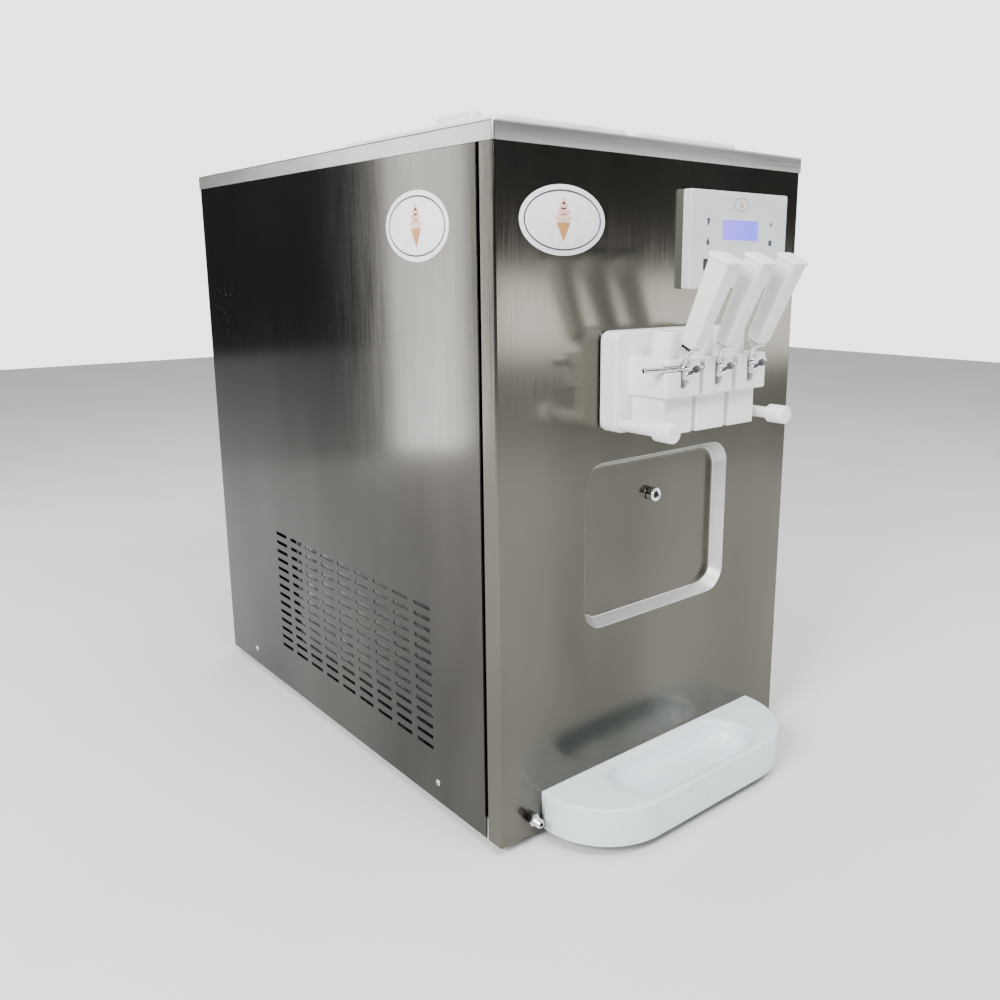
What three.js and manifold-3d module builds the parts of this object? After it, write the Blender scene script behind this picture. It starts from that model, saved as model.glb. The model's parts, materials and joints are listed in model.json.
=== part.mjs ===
// Counter-top soft serve machine with two freezing cylinders and three draw levers.
// Millimetres, +Z up. The front faces -Y and +X is the machine's right as seen from the front.
// Inside the code, y = 0 is the front panel's face and z = 0 the bottom edge of the casing.
// The finished group is moved so that its origin is the centre of the footprint, on the floor.
import * as THREE from 'three';
import { mergeGeometries, mergeVertices } from 'three/addons/utils/BufferGeometryUtils.js';
import Module from 'manifold-3d';

const wasm = await Module();
wasm.setup();

// ---------------------------------------------------------------- driving dimensions

// Casing
const CASE_WIDTH = 510;
const CASE_DEPTH = 776;
const CASE_HEIGHT = 780;
const RIM_HEIGHT = 19.3;
const RIM_OVERHANG = 1.9;
const SHEET = 1.5;
const BASE_SHEET = 2;
const BASE_LIFT = 2;
const BASE_FLANGE = 25;
const PANEL_RETURN = 24;
const PANEL_FLANGE = 10;
const SIDE_SEAM = 5;
const GAP = 0.3;
const FOOT_HEIGHT = 12;
const FOOT_RADIUS = 15;
const FOOT_TAPER = 3;
const FOOT_INSET = 48;
const POST = 20;
const DECK_SHEET = 2;
const DECK_FLANGE = 15;

// Vents
const VENT_COLUMNS = 9;
const VENT_ROWS = 14;
const VENT_PITCH_Y = 49.4;
const VENT_PITCH_Z = 14.15;
const VENT_LENGTH = 36;
const VENT_HEIGHT = 5;
const VENT_START_Y = 155;
const VENT_START_Z = 70;
const OUTLET_COLUMNS = 5;
const REAR_VENT_COLUMNS = 3;
const REAR_VENT_ROWS = 8;
const REAR_VENT_LENGTH = 80;
const REAR_VENT_GAP = 16;
const REAR_VENT_DROP = 220;
const STAR_RAYS = 8;
const STAR_HOLES_PER_RAY = 4;
const STAR_RADIUS = 40;
const STAR_HOLE_RADIUS = 2.2;
const STAR_FROM_REAR = 74;
const STAR_DROP = 185;

// Recess pressed into the front panel
const RECESS_WIDTH = 252;
const RECESS_HEIGHT = 201;
const RECESS_BELOW_HEAD = 40;
const RECESS_DEPTH = 18;
const RECESS_RADIUS = 28;
const RECESS_DRAFT = 10;
const SPOUT_DROP = 54;
const SPOUT_RADIUS = 8.8;
const SPOUT_BORE = 4.3;
const SPOUT_PROUD = 11;
const SPOUT_TAIL = 14;
const WIRING_HOLE = 40;
const WIRING_RISE = 20;

// Freezing cylinders
const CYLINDER_DROP = 249;
const CYLINDER_SPACING = 5;
const CYLINDER_RADIUS = 47;
const CYLINDER_WALL = 4;
const CYLINDER_LENGTH = 300;
const FLANGE_INSET_X = 3;
const FLANGE_INSET_Z = 3.5;
const FLANGE_THICKNESS = 8;
const SHAFT_RADIUS = 9;
const BEATER_CLEARANCE = 2;
const BEATER_TURNS = 3;
const BLADE_WIDTH = 6;
const BLADE_THICKNESS = 5;

// Hoppers and their lids
const HOPPER_LENGTH = 318;
const HOPPER_DEPTH = 150;
const HOPPER_TAPER = 8;
const HOPPER_RADIUS = 25;
const HOPPER_LIP = 3.5;
const HOPPER_FROM_FRONT = 71;
const HOPPER_FROM_CENTRE = 9;
const HOPPER_FROM_SIDE = 58;
const OUTLET_Y = 130;
const OUTLET_RADIUS = 12;
const FEED_TUBE_DROP = 32;
const FEED_TUBE_SPIGOT = 14;
const FEED_TUBE_COLLAR = 4;
const FEED_TUBE_COLLAR_HEIGHT = 5;
const FEED_TUBE_WALL = 1.5;
const LID_HEIGHT = 17.5;
const LID_WALL = 2.5;
const LID_MARGIN = 7;
const LID_RADIUS = 15;
const LID_GRIP_LENGTH = 77;
const LID_GRIP_WIDTH = 18;
const LID_GRIP_HEIGHT = 11;
const LID_GRIP_FROM_FRONT = 60;

// Discharge head
const HEAD_MARGIN = 10;
const HEAD_PLATE = 26.3;
const HEAD_RADIUS = 12;
const GASKET = 1.4;
const VALVE_PITCH = 58;
const VALVE_SETBACK = 30;
const VALVE_BLOCK_FRONT = -84;
const VALVE_BLOCK_RISE = 28;
const VALVE_BLOCK_STEP_DROP = 14;
const VALVE_BLOCK_INSET = 2;
const LOWER_BLOCK_INSET = 7;
const LOWER_BLOCK_SETBACK = 10;
const GROOVE_WIDTH = 8;
const GROOVE_DEPTH = 10;
const PISTON_RADIUS = 15;
const PISTON_HEIGHT = 103;
const PISTON_FLOOR = 9;
const OUTLET_STAR_RADIUS = 12;
const OUTLET_STAR_POINTS = 6;
const OUTLET_STAR_WAIST = 0.55;
const PORT_RADIUS = 6;
const PORT_DROP = 37;

// Levers, pivot pin and hand screws
const PIN_SETBACK = 4;
const PIN_DROP = 10;
const PIN_RADIUS = 3;
const PIN_TAIL = 26;
const PIN_TAIL_BEND = 16;
const SLOT_PLAY = 3;
const SLOT_DROP = 22;
const LEVER_TILT = 24.5;
const LEVER_WIDTH = 9;
const HUB_RADIUS = 7;
const ARM_LENGTH = 24;
const ARM_THICKNESS = 6;
const ARM_GROOVE_DROP = 11.5;
const ARM_GROOVE_RISE = 4.2;
const NECK_RADIUS = 2.8;
const GRIP_START = 27;
const GRIP_LENGTH = 104;
const GRIP_BOTTOM = 21;
const GRIP_TOP = 27;
const GRIP_CHAMFER = 0.3;
const GRIP_CAP = 4;
const ADJUSTER_ANGLE = 30;
const ADJUSTER_RADIUS = 2;
const ADJUSTER_LENGTH = 26;
const LUG_RADIUS = 5.5;
const LUG_SETBACK = 6;
const LUG_DROP = 7.5;
const HAND_SCREW_INSET_X = 9;
const HAND_SCREW_INSET_Z = 10;
const STEM_RADIUS = 6.8;
const STEM_LENGTH = 55;
const KNOB_RADIUS = 11;
const KNOB_LENGTH = 25;
const STUD_RADIUS = 4;
const STUD_END = 4;
const KNOB_EDGE = 1.5;
const KNOB_CLEARANCE = 1;

// Control panel
const CONTROL_FROM_SIDE = 40;
const CONTROL_WIDTH = 189;
const CONTROL_DROP = 148;
const CONTROL_HEIGHT = 116;
const CONTROL_PROUD = 12;
const CONTROL_WALL = 2.5;
const DISPLAY_WIDTH = 72;
const DISPLAY_HEIGHT = 25;
const DISPLAY_RISE = 70;
const DISPLAY_INSET = 0.6;
const KEY_WIDTH = 28;
const KEY_HEIGHT = 13;
const KEY_RISE = 29;
const KEY_GAP = 3;
const KEY_GROUP_GAP = 20;
const KEY_FLANGE = 1;
const KEY_PROUD = 1.2;
const BOARD_THICKNESS = 1.6;
const BOARD_SPACE = 4.5;

// Drip tray
const TRAY_FROM_SIDE = 61;
const TRAY_DEPTH = 103;
const TRAY_HEIGHT = 48;
const TRAY_BACK_FLAT = 7;
const TRAY_WALL = 3;
const TRAY_Z = 2;
const BASIN_LENGTH = 230;
const BASIN_FRONT = 12;
const BASIN_DEPTH = 27;
const BASIN_BACK = 9;
const TAB_WIDTH = 20;
const TAB_SPACING = 220;
const TAB_DROP = 12;
const TAB_REACH = 8;
const TAB_THICKNESS = 3;
const DRAIN_FROM_SIDE = 44;
const DRAIN_Z = 23;
const DRAIN_STEM = 4;
const DRAIN_HEX = 8;
const DRAIN_REACH = 20;
const DRAIN_BORE = 2.5;

// Drive
const GEARBOX_MARGIN = 36;
const GEARBOX_LENGTH = 90;
const GEARBOX_SPACE = 16;
const BEATER_SOCKET = 12;
const PULLEY_SOCKET = 15;
const MOTOR_RADIUS = 60;
const MOTOR_LENGTH = 130;
const MOTOR_DROP = 138;
const MOTOR_SHAFT = 7;
const MOTOR_PULLEY_RADIUS = 28;
const GEAR_PULLEY_RADIUS = 55;
const PULLEY_WIDTH = 15;
const BELT_THICKNESS = 5;
const BELT_CLEARANCE = 0.9;

// Refrigeration
const COMPRESSOR_X = 95;
const COMPRESSOR_FROM_REAR = 186;
const COMPRESSOR_RADIUS = 80;
const COMPRESSOR_HEIGHT = 225;
const CONDENSER_LENGTH = 400;
const CONDENSER_HEIGHT = 250;
const CONDENSER_THICKNESS = 40;
const FAN_RADIUS = 110;
const FAN_HUB = 25;
const FAN_BLADES = 5;
const FAN_MOTOR_RADIUS = 32;
const FAN_SHAFT_RADIUS = 5;
const FAN_SHAFT_LENGTH = 30;
const FAN_SPACE = 14;
const FAN_MOTOR_LENGTH = 55;
const GLAND_RADIUS = 9;
const GLAND_BORE = 4;
const GLAND_FROM_SIDE = 105;
const GLAND_Z = 60;

// ---------------------------------------------------------------- derived positions

const HALF_WIDTH = CASE_WIDTH / 2;
const CYLINDER_X = CYLINDER_RADIUS + CYLINDER_SPACING;
const CYLINDER_Z = CASE_HEIGHT - CYLINDER_DROP;
const COVER_TOP = CASE_HEIGHT + RIM_HEIGHT;
const COVER_BOTTOM = COVER_TOP - SHEET;
const PANEL_TOP = COVER_BOTTOM - GAP;
const SIDE_START = PANEL_RETURN + SIDE_SEAM;
const PAN_HALF_WIDTH = HALF_WIDTH - SHEET - GAP;
const PAN_FRONT = SHEET + GAP;
const PAN_REAR = CASE_DEPTH - SHEET - GAP;
const FLOOR_TOP = BASE_LIFT + BASE_SHEET;
const ON_FLOOR = FLOOR_TOP + GAP;
const PAN_TOP = BASE_LIFT + BASE_FLANGE;
const FRAME_OUTER = PAN_HALF_WIDTH - BASE_SHEET - GAP;
const FRAME_FRONT = SIDE_START + SHEET + GAP;
const FRAME_REAR = PAN_REAR - BASE_SHEET - GAP;
const FRAME_TOP = PANEL_TOP - SHEET - GAP;
const DECK_Z = CYLINDER_Z - CYLINDER_RADIUS - 10;
const DECK_FRONT = FRAME_FRONT + POST + GAP;
const CYLINDER_REAR = CYLINDER_LENGTH + SHAFT_RADIUS * 2;
const GEARBOX_FRONT = CYLINDER_REAR + GAP * 2 + GEARBOX_SPACE;
const GEARBOX_REAR = GEARBOX_FRONT + GEARBOX_LENGTH;
const DECK_REAR = GEARBOX_REAR + 20;
const PULLEY_Y = DECK_REAR + 8;
const MOTOR_Z = CYLINDER_Z - MOTOR_DROP;
const MOTOR_REAR = PULLEY_Y - 24;
const HOPPER_WIDTH = HALF_WIDTH - HOPPER_FROM_SIDE - HOPPER_FROM_CENTRE;
const HOPPER_X = HOPPER_FROM_CENTRE + HOPPER_WIDTH / 2;
const HOPPER_Y = HOPPER_FROM_FRONT + HOPPER_LENGTH / 2;
const HOPPER_TOP = COVER_TOP + GAP + SHEET;
const HOPPER_FLOOR = HOPPER_TOP - HOPPER_DEPTH;
const PORT_BOSS_TOP = CYLINDER_Z + CYLINDER_RADIUS + 12;
const LID_WIDTH = HOPPER_WIDTH + LID_MARGIN * 2;
const LID_LENGTH = HOPPER_LENGTH + LID_MARGIN * 3;
const LID_BOTTOM = COVER_TOP + GAP;
const LID_TOP = LID_BOTTOM + LID_HEIGHT;
const HEAD_HALF_WIDTH = CYLINDER_X + CYLINDER_RADIUS + HEAD_MARGIN;
const HEAD_HALF_HEIGHT = CYLINDER_RADIUS + HEAD_MARGIN;
const FLANGE_HALF_WIDTH = HEAD_HALF_WIDTH - FLANGE_INSET_X;
const FLANGE_HALF_HEIGHT = HEAD_HALF_HEIGHT - FLANGE_INSET_Z;
const HAND_SCREW_X = HEAD_HALF_WIDTH - HAND_SCREW_INSET_X;
const HAND_SCREW_Z = CYLINDER_Z - HEAD_HALF_HEIGHT + HAND_SCREW_INSET_Z;
const HEAD_BACK = -(GASKET + GAP);
const HEAD_FRONT = HEAD_BACK - HEAD_PLATE;
const VALVE_BLOCK_HALF_WIDTH = HAND_SCREW_X - KNOB_RADIUS - KNOB_CLEARANCE;
const VALVE_BLOCK_TOP = CYLINDER_Z + VALVE_BLOCK_RISE;
const VALVE_BLOCK_STEP = CYLINDER_Z - VALVE_BLOCK_STEP_DROP;
const VALVE_BLOCK_BOTTOM = CYLINDER_Z - HEAD_HALF_HEIGHT + VALVE_BLOCK_INSET;
const LOWER_BLOCK_FRONT = VALVE_BLOCK_FRONT + LOWER_BLOCK_SETBACK;
const VALVE_Y = VALVE_BLOCK_FRONT + VALVE_SETBACK;
const PORT_Z = CYLINDER_Z - PORT_DROP;
const PIN_Y = VALVE_BLOCK_FRONT + PIN_SETBACK;
const PIN_Z = VALVE_BLOCK_TOP - PIN_DROP;
const SLOT_WIDTH = LEVER_WIDTH + SLOT_PLAY;
const SLOT_BOTTOM = PIN_Z - SLOT_DROP;
const RECESS_Z = CYLINDER_Z - HEAD_HALF_HEIGHT - RECESS_BELOW_HEAD - RECESS_HEIGHT;
const SPOUT_Z = RECESS_Z + RECESS_HEIGHT - SPOUT_DROP;
const STAR_Z = CASE_HEIGHT - STAR_DROP;
const REAR_VENT_Z = CASE_HEIGHT - REAR_VENT_DROP;
const PISTON_BOTTOM = VALVE_BLOCK_BOTTOM + PISTON_FLOOR + GAP;
const CONTROL_X = HALF_WIDTH - CONTROL_FROM_SIDE - CONTROL_WIDTH / 2;
const CONTROL_Z = CASE_HEIGHT - CONTROL_DROP;
const DISPLAY_Z = CONTROL_Z + DISPLAY_RISE;
const KEY_Z = CONTROL_Z + KEY_RISE;
const KEY_PITCH = KEY_WIDTH + KEY_GAP;
const KEY_PAIR_SPLIT = KEY_WIDTH + KEY_GROUP_GAP;
const CONTROL_BACK = -GAP;
const CONTROL_FRONT = -CONTROL_PROUD;
const CONTROL_INNER = CONTROL_FRONT + CONTROL_WALL;
const BOARD_FRONT = CONTROL_INNER + BOARD_SPACE;
const TRAY_WIDTH = CASE_WIDTH - TRAY_FROM_SIDE * 2;
const TRAY_RADIUS = TRAY_DEPTH - TRAY_BACK_FLAT;
const BASIN_WIDTH = TRAY_DEPTH - BASIN_BACK - BASIN_FRONT;
const TAB_Z = TRAY_Z + TRAY_HEIGHT - TAB_DROP;
const DRAIN_X = DRAIN_FROM_SIDE - HALF_WIDTH;
const GEARBOX_HALF_WIDTH = CYLINDER_X + GEARBOX_MARGIN;
const COMPRESSOR_Y = CASE_DEPTH - COMPRESSOR_FROM_REAR;
const GLAND_AT = [GLAND_FROM_SIDE - HALF_WIDTH, GLAND_Z];
const CONDENSER_X = -FRAME_OUTER + POST + GAP * 2;
const CONDENSER_Y = VENT_START_Y;
const FAN_X = CONDENSER_X + CONDENSER_THICKNESS + FAN_SPACE;
const FAN_Y = CONDENSER_Y + CONDENSER_LENGTH / 2;
const FAN_Z = ON_FLOOR + CONDENSER_HEIGHT / 2;
const VALVES = { left: -VALVE_PITCH, middle: 0, right: VALVE_PITCH };
const SIDES = { left: -1, right: 1 };

// ---------------------------------------------------------------- materials

const finish = (color, roughness, metalness) => (
  new THREE.MeshStandardMaterial({ color, roughness, metalness })
);
const brushedSteel = finish(0x8e8a84, 0.35, 0.9);
const darkSteel = finish(0x5d5b59, 0.25, 0.95);
const innerSteel = finish(0xa9acae, 0.45, 0.8);
const chrome = finish(0xd8dadc, 0.12, 1.0);
const whiteAcetal = finish(0xf1f4f2, 0.38, 0.0);
const whitePlastic = finish(0xe6ecf0, 0.42, 0.0);
const lidPlastic = finish(0xdfe7e2, 0.4, 0.0);
const panelGrey = finish(0xb2beb8, 0.5, 0.1);
const darkPlastic = finish(0x1f2123, 0.5, 0.0);
const displayBlue = finish(0x8f97ff, 0.2, 0.0);
const boardGreen = finish(0x1f5a36, 0.6, 0.0);
const rubber = finish(0x17181a, 0.85, 0.0);
const castIron = finish(0x3a3f45, 0.6, 0.5);
const blackPaint = finish(0x101214, 0.4, 0.3);
const aluminium = finish(0xb9bdc0, 0.4, 0.9);

// ---------------------------------------------------------------- geometry helpers

// Turns a closed body right side out when its faces point inwards.
function faceOutward(geometry) {
  const solid = geometry.index ? geometry : mergeVertices(geometry);
  const position = solid.attributes.position;
  const index = solid.index.array;
  const [a, b, c] = [new THREE.Vector3(), new THREE.Vector3(), new THREE.Vector3()];
  let volume = 0;
  for (let i = 0; i < index.length; i += 3) {
    a.fromBufferAttribute(position, index[i]);
    b.fromBufferAttribute(position, index[i + 1]);
    c.fromBufferAttribute(position, index[i + 2]);
    volume += a.dot(b.cross(c));
  }
  if (volume < 0) {
    for (let i = 0; i < index.length; i += 3) {
      [index[i], index[i + 1]] = [index[i + 1], index[i]];
    }
  }
  return solid;
}

function toSolid(geometry) {
  const bare = geometry.clone();
  for (const name of Object.keys(bare.attributes)) {
    if (name !== 'position') {
      bare.deleteAttribute(name);
    }
  }
  const merged = mergeVertices(bare, 1e-4);
  const index = merged.index.array;
  const kept = [];
  for (let i = 0; i < index.length; i += 3) {
    const [p, q, r] = [index[i], index[i + 1], index[i + 2]];
    if (p !== q && q !== r && r !== p) {
      kept.push(p, q, r);
    }
  }
  const vertProperties = new Float32Array(merged.attributes.position.array);
  const triVerts = new Uint32Array(kept);
  return new wasm.Manifold(new wasm.Mesh({ numProp: 3, vertProperties, triVerts }));
}

function toGeometry(solid) {
  const mesh = solid.getMesh();
  const geometry = new THREE.BufferGeometry();
  geometry.setAttribute('position', new THREE.BufferAttribute(mesh.vertProperties, 3));
  geometry.setIndex(new THREE.BufferAttribute(mesh.triVerts, 1));
  return geometry;
}

function join(...geometries) {
  return toGeometry(geometries.map(toSolid).reduce((sum, next) => sum.add(next)));
}

function cut(base, ...tools) {
  return toGeometry(tools.map(toSolid).reduce((rest, tool) => rest.subtract(tool), toSolid(base)));
}

function box(x0, x1, y0, y1, z0, z1) {
  const geometry = new THREE.BoxGeometry(x1 - x0, y1 - y0, z1 - z0);
  return geometry.translate((x0 + x1) / 2, (y0 + y1) / 2, (z0 + z1) / 2);
}

// Solid round bar along x, y or z. The two centre values are the other coordinates, in order.
function bar(axis, radius, from, to, centre, sides = 20) {
  const geometry = new THREE.CylinderGeometry(radius, radius, to - from, sides);
  const middle = (from + to) / 2;
  if (axis === 'x') {
    return geometry.rotateZ(-Math.PI / 2).translate(middle, centre[0], centre[1]);
  }
  if (axis === 'y') {
    return geometry.translate(centre[0], middle, centre[1]);
  }
  return geometry.rotateX(Math.PI / 2).translate(centre[0], centre[1], middle);
}

// Turned body along x, y or z. The profile is a list of [radius, distance along the axis].
function turned(axis, profile, centre, sides = 20) {
  const points = profile.map(([radius, along]) => new THREE.Vector2(radius, along));
  const geometry = faceOutward(new THREE.LatheGeometry(points, sides));
  if (axis === 'x') {
    return geometry.rotateZ(-Math.PI / 2).translate(0, centre[0], centre[1]);
  }
  if (axis === 'y') {
    return geometry.translate(centre[0], 0, centre[1]);
  }
  return geometry.rotateX(Math.PI / 2).translate(centre[0], centre[1], 0);
}

// Outline of a rectangle with rounded corners, as [u, v] points around its centre.
function roundedOutline(width, height, radius, steps = 4) {
  const corners = [[1, 1, 0], [-1, 1, 90], [-1, -1, 180], [1, -1, 270]];
  const r = Math.min(radius, width / 2 - 0.01, height / 2 - 0.01);
  return corners.flatMap(([su, sv, start]) => (
    Array.from({ length: steps + 1 }, (_, i) => {
      const angle = THREE.MathUtils.degToRad(start + (90 * i) / steps);
      const u = su * (width / 2 - r) + r * Math.cos(angle);
      const v = sv * (height / 2 - r) + r * Math.sin(angle);
      return [u, v];
    })
  ));
}

const atHeight = (outline, z, x = 0, y = 0) => (
  outline.map(([u, v]) => new THREE.Vector3(x + u, y + v, z))
);
const atDepth = (outline, y, x = 0, z = 0) => (
  outline.map(([u, v]) => new THREE.Vector3(x + u, y, z + v))
);

// Closed body through rings of points. All rings have as many points, in the same order.
function loft(rings) {
  const count = rings[0].length;
  const last = (rings.length - 1) * count;
  const index = [];
  for (let start = 0; start < last; start += count) {
    for (let i = 0; i < count; i += 1) {
      const j = (i + 1) % count;
      index.push(start + i, start + j, start + count + j);
      index.push(start + i, start + count + j, start + count + i);
    }
  }
  for (let i = 1; i + 1 < count; i += 1) {
    index.push(0, i + 1, i);
    index.push(last, last + i, last + i + 1);
  }
  const geometry = new THREE.BufferGeometry();
  const flat = rings.flat().flatMap((point) => [point.x, point.y, point.z]);
  geometry.setAttribute('position', new THREE.Float32BufferAttribute(flat, 3));
  geometry.setIndex(index);
  return faceOutward(geometry);
}

const machine = new THREE.Group();

function add(name, geometry, material, parent = machine) {
  const mesh = new THREE.Mesh(geometry, material);
  mesh.name = name;
  parent.add(mesh);
  return mesh;
}

// ---------------------------------------------------------------- casing

function ventSlots(side, columns) {
  const x = side * HALF_WIDTH;
  const slots = [];
  for (let column = 0; column < columns; column += 1) {
    for (let row = 0; row < VENT_ROWS; row += 1) {
      const y = VENT_START_Y + column * VENT_PITCH_Y;
      const z = VENT_START_Z + row * VENT_PITCH_Z;
      const [dy, dz] = [VENT_LENGTH / 2, VENT_HEIGHT / 2];
      slots.push(box(x - SHEET * 2, x + SHEET * 2, y - dy, y + dy, z - dz, z + dz));
    }
  }
  return mergeGeometries(slots);
}

function starHoles(side) {
  const x = side * HALF_WIDTH;
  const y = CASE_DEPTH - STAR_FROM_REAR;
  const hole = (u, v) => bar('x', STAR_HOLE_RADIUS, x - SHEET * 2, x + SHEET * 2, [y + u, STAR_Z + v], 4);
  const holes = [hole(0, 0)];
  for (let ray = 0; ray < STAR_RAYS; ray += 1) {
    const angle = (ray * 2 * Math.PI) / STAR_RAYS;
    for (let step = 1; step <= STAR_HOLES_PER_RAY; step += 1) {
      const reach = (STAR_RADIUS * step) / STAR_HOLES_PER_RAY;
      holes.push(hole(reach * Math.cos(angle), reach * Math.sin(angle)));
    }
  }
  return mergeGeometries(holes);
}

// Flat side sheet with an inward flange along its front edge and its top.
function sidePanelSheet(side) {
  const outer = side * HALF_WIDTH;
  const inner = side * (HALF_WIDTH - SHEET);
  const flange = side * (HALF_WIDTH - SHEET - PANEL_FLANGE);
  const span = (a, b) => [Math.min(a, b), Math.max(a, b)];
  const sheet = box(...span(outer, inner), SIDE_START, CASE_DEPTH, 0, PANEL_TOP);
  const front = box(...span(outer, flange), SIDE_START, SIDE_START + SHEET, PAN_TOP + GAP, PANEL_TOP);
  const top = box(...span(outer, flange), SIDE_START, PAN_REAR - GAP, PANEL_TOP - SHEET, PANEL_TOP);
  return join(sheet, front, top);
}

function recessRings(offset) {
  const width = RECESS_WIDTH + offset * 2;
  const height = RECESS_HEIGHT + offset * 2;
  const z = RECESS_Z + RECESS_HEIGHT / 2;
  const mouth = roundedOutline(width, height, RECESS_RADIUS + offset, 5);
  const back = roundedOutline(width - RECESS_DRAFT * 2, height - RECESS_DRAFT * 2, RECESS_RADIUS, 5);
  return { mouth, back, z };
}

function frontPanel() {
  const sheet = cut(
    box(-HALF_WIDTH, HALF_WIDTH, 0, PANEL_RETURN, 0, PANEL_TOP),
    box(SHEET - HALF_WIDTH, HALF_WIDTH - SHEET, SHEET, CASE_DEPTH, -SHEET, PANEL_TOP - SHEET),
  );
  const hollow = recessRings(0);
  const shell = recessRings(SHEET);
  const pan = loft([
    atDepth(shell.mouth, SHEET / 2, 0, shell.z),
    atDepth(shell.back, RECESS_DEPTH + SHEET, 0, shell.z),
  ]);
  const recess = loft([
    atDepth(hollow.mouth, -SHEET, 0, hollow.z),
    atDepth(hollow.mouth, 0, 0, hollow.z),
    atDepth(hollow.back, RECESS_DEPTH, 0, hollow.z),
  ]);
  const [w, h] = [FLANGE_HALF_WIDTH + GAP, FLANGE_HALF_HEIGHT + GAP];
  const headOpening = box(-w, w, -SHEET, SHEET * 2, CYLINDER_Z - h, CYLINDER_Z + h);
  const [wireX, wireZ] = [CONTROL_X - WIRING_HOLE / 2, CONTROL_Z + WIRING_RISE];
  const wiring = box(wireX, wireX + WIRING_HOLE, -SHEET, SHEET * 2, wireZ, wireZ + WIRING_HOLE);
  const spoutHole = bar('y', SPOUT_BORE + SHEET + GAP, 0, RECESS_DEPTH * 2, [0, SPOUT_Z]);
  const drainHole = bar('y', DRAIN_STEM + GAP, -SHEET, SHEET * 2, [DRAIN_X, DRAIN_Z]);
  return cut(join(sheet, pan), recess, headOpening, wiring, spoutHole, drainHole, ...trayTabs(GAP));
}

function rearPanel() {
  const sheet = box(-PAN_HALF_WIDTH, PAN_HALF_WIDTH, CASE_DEPTH - SHEET, CASE_DEPTH, 0, PANEL_TOP);
  const slots = [];
  for (let column = 0; column < REAR_VENT_COLUMNS; column += 1) {
    for (let row = 0; row < REAR_VENT_ROWS; row += 1) {
      const x = (column - (REAR_VENT_COLUMNS - 1) / 2) * (REAR_VENT_LENGTH + REAR_VENT_GAP);
      const z = REAR_VENT_Z + row * VENT_PITCH_Z;
      const half = REAR_VENT_LENGTH / 2;
      slots.push(box(x - half, x + half, CASE_DEPTH - SHEET * 2, CASE_DEPTH + SHEET, z, z + VENT_HEIGHT));
    }
  }
  const glandHole = bar('y', GLAND_RADIUS + GAP, CASE_DEPTH - SHEET * 2, CASE_DEPTH + SHEET, GLAND_AT);
  return cut(sheet, mergeGeometries(slots), glandHole);
}

function basePan() {
  const [x, y0, y1] = [PAN_HALF_WIDTH, PAN_FRONT, PAN_REAR];
  const wall = BASE_SHEET;
  return cut(
    box(-x, x, y0, y1, BASE_LIFT, PAN_TOP),
    box(wall - x, x - wall, y0 + wall, y1 - wall, FLOOR_TOP, PAN_TOP + 1),
  );
}

// Welded side frame: two posts, a top rail and the rail that carries the deck.
function sideFrame(side) {
  const [x0, x1] = side < 0 ? [-FRAME_OUTER, POST - FRAME_OUTER] : [FRAME_OUTER - POST, FRAME_OUTER];
  const railTop = DECK_Z - GAP;
  return join(
    box(x0, x1, FRAME_FRONT, FRAME_FRONT + POST, ON_FLOOR, FRAME_TOP),
    box(x0, x1, FRAME_REAR - POST, FRAME_REAR, ON_FLOOR, FRAME_TOP),
    box(x0, x1, FRAME_FRONT, FRAME_REAR, FRAME_TOP - POST, FRAME_TOP),
    box(x0, x1, FRAME_FRONT, FRAME_REAR, railTop - POST, railTop),
  );
}

// Shelf between the side frames, with two saddles shaped to the freezing cylinders.
function cylinderDeck() {
  const top = DECK_Z + DECK_SHEET;
  const plate = box(-FRAME_OUTER, FRAME_OUTER, DECK_FRONT, DECK_REAR, DECK_Z, top);
  const stiff = FRAME_OUTER - POST - GAP;
  const rib = box(-stiff, stiff, DECK_FRONT, DECK_FRONT + DECK_SHEET, DECK_Z - DECK_FLANGE, top);
  const reach = CYLINDER_X + CYLINDER_RADIUS;
  const saddleTop = CYLINDER_Z - CYLINDER_RADIUS * 0.6;
  const saddle = (y) => box(-reach, reach, y, y + 6, DECK_Z, saddleTop);
  const seat = (x) => bar('y', CYLINDER_RADIUS + GAP, 0, CYLINDER_REAR, [x, CYLINDER_Z], 24);
  const body = join(plate, rib, saddle(DECK_FRONT + 20), saddle(CYLINDER_LENGTH - 40));
  return cut(body, seat(-CYLINDER_X), seat(CYLINDER_X));
}

function topCover() {
  const [x, y0, y1] = [HALF_WIDTH + RIM_OVERHANG, -RIM_OVERHANG, CASE_DEPTH + RIM_OVERHANG];
  const opening = (side) => loft([COVER_BOTTOM - SHEET, COVER_TOP + SHEET].map((z) => (
    atHeight(
      roundedOutline(HOPPER_WIDTH + GAP * 4, HOPPER_LENGTH + GAP * 4, HOPPER_RADIUS),
      z,
      side * HOPPER_X,
      HOPPER_Y,
    )
  )));
  return cut(
    box(-x, x, y0, y1, CASE_HEIGHT, COVER_TOP),
    box(SHEET - x, x - SHEET, y0 + SHEET, y1 - SHEET, CASE_HEIGHT - SHEET, COVER_BOTTOM),
    opening(-1),
    opening(1),
  );
}

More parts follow.
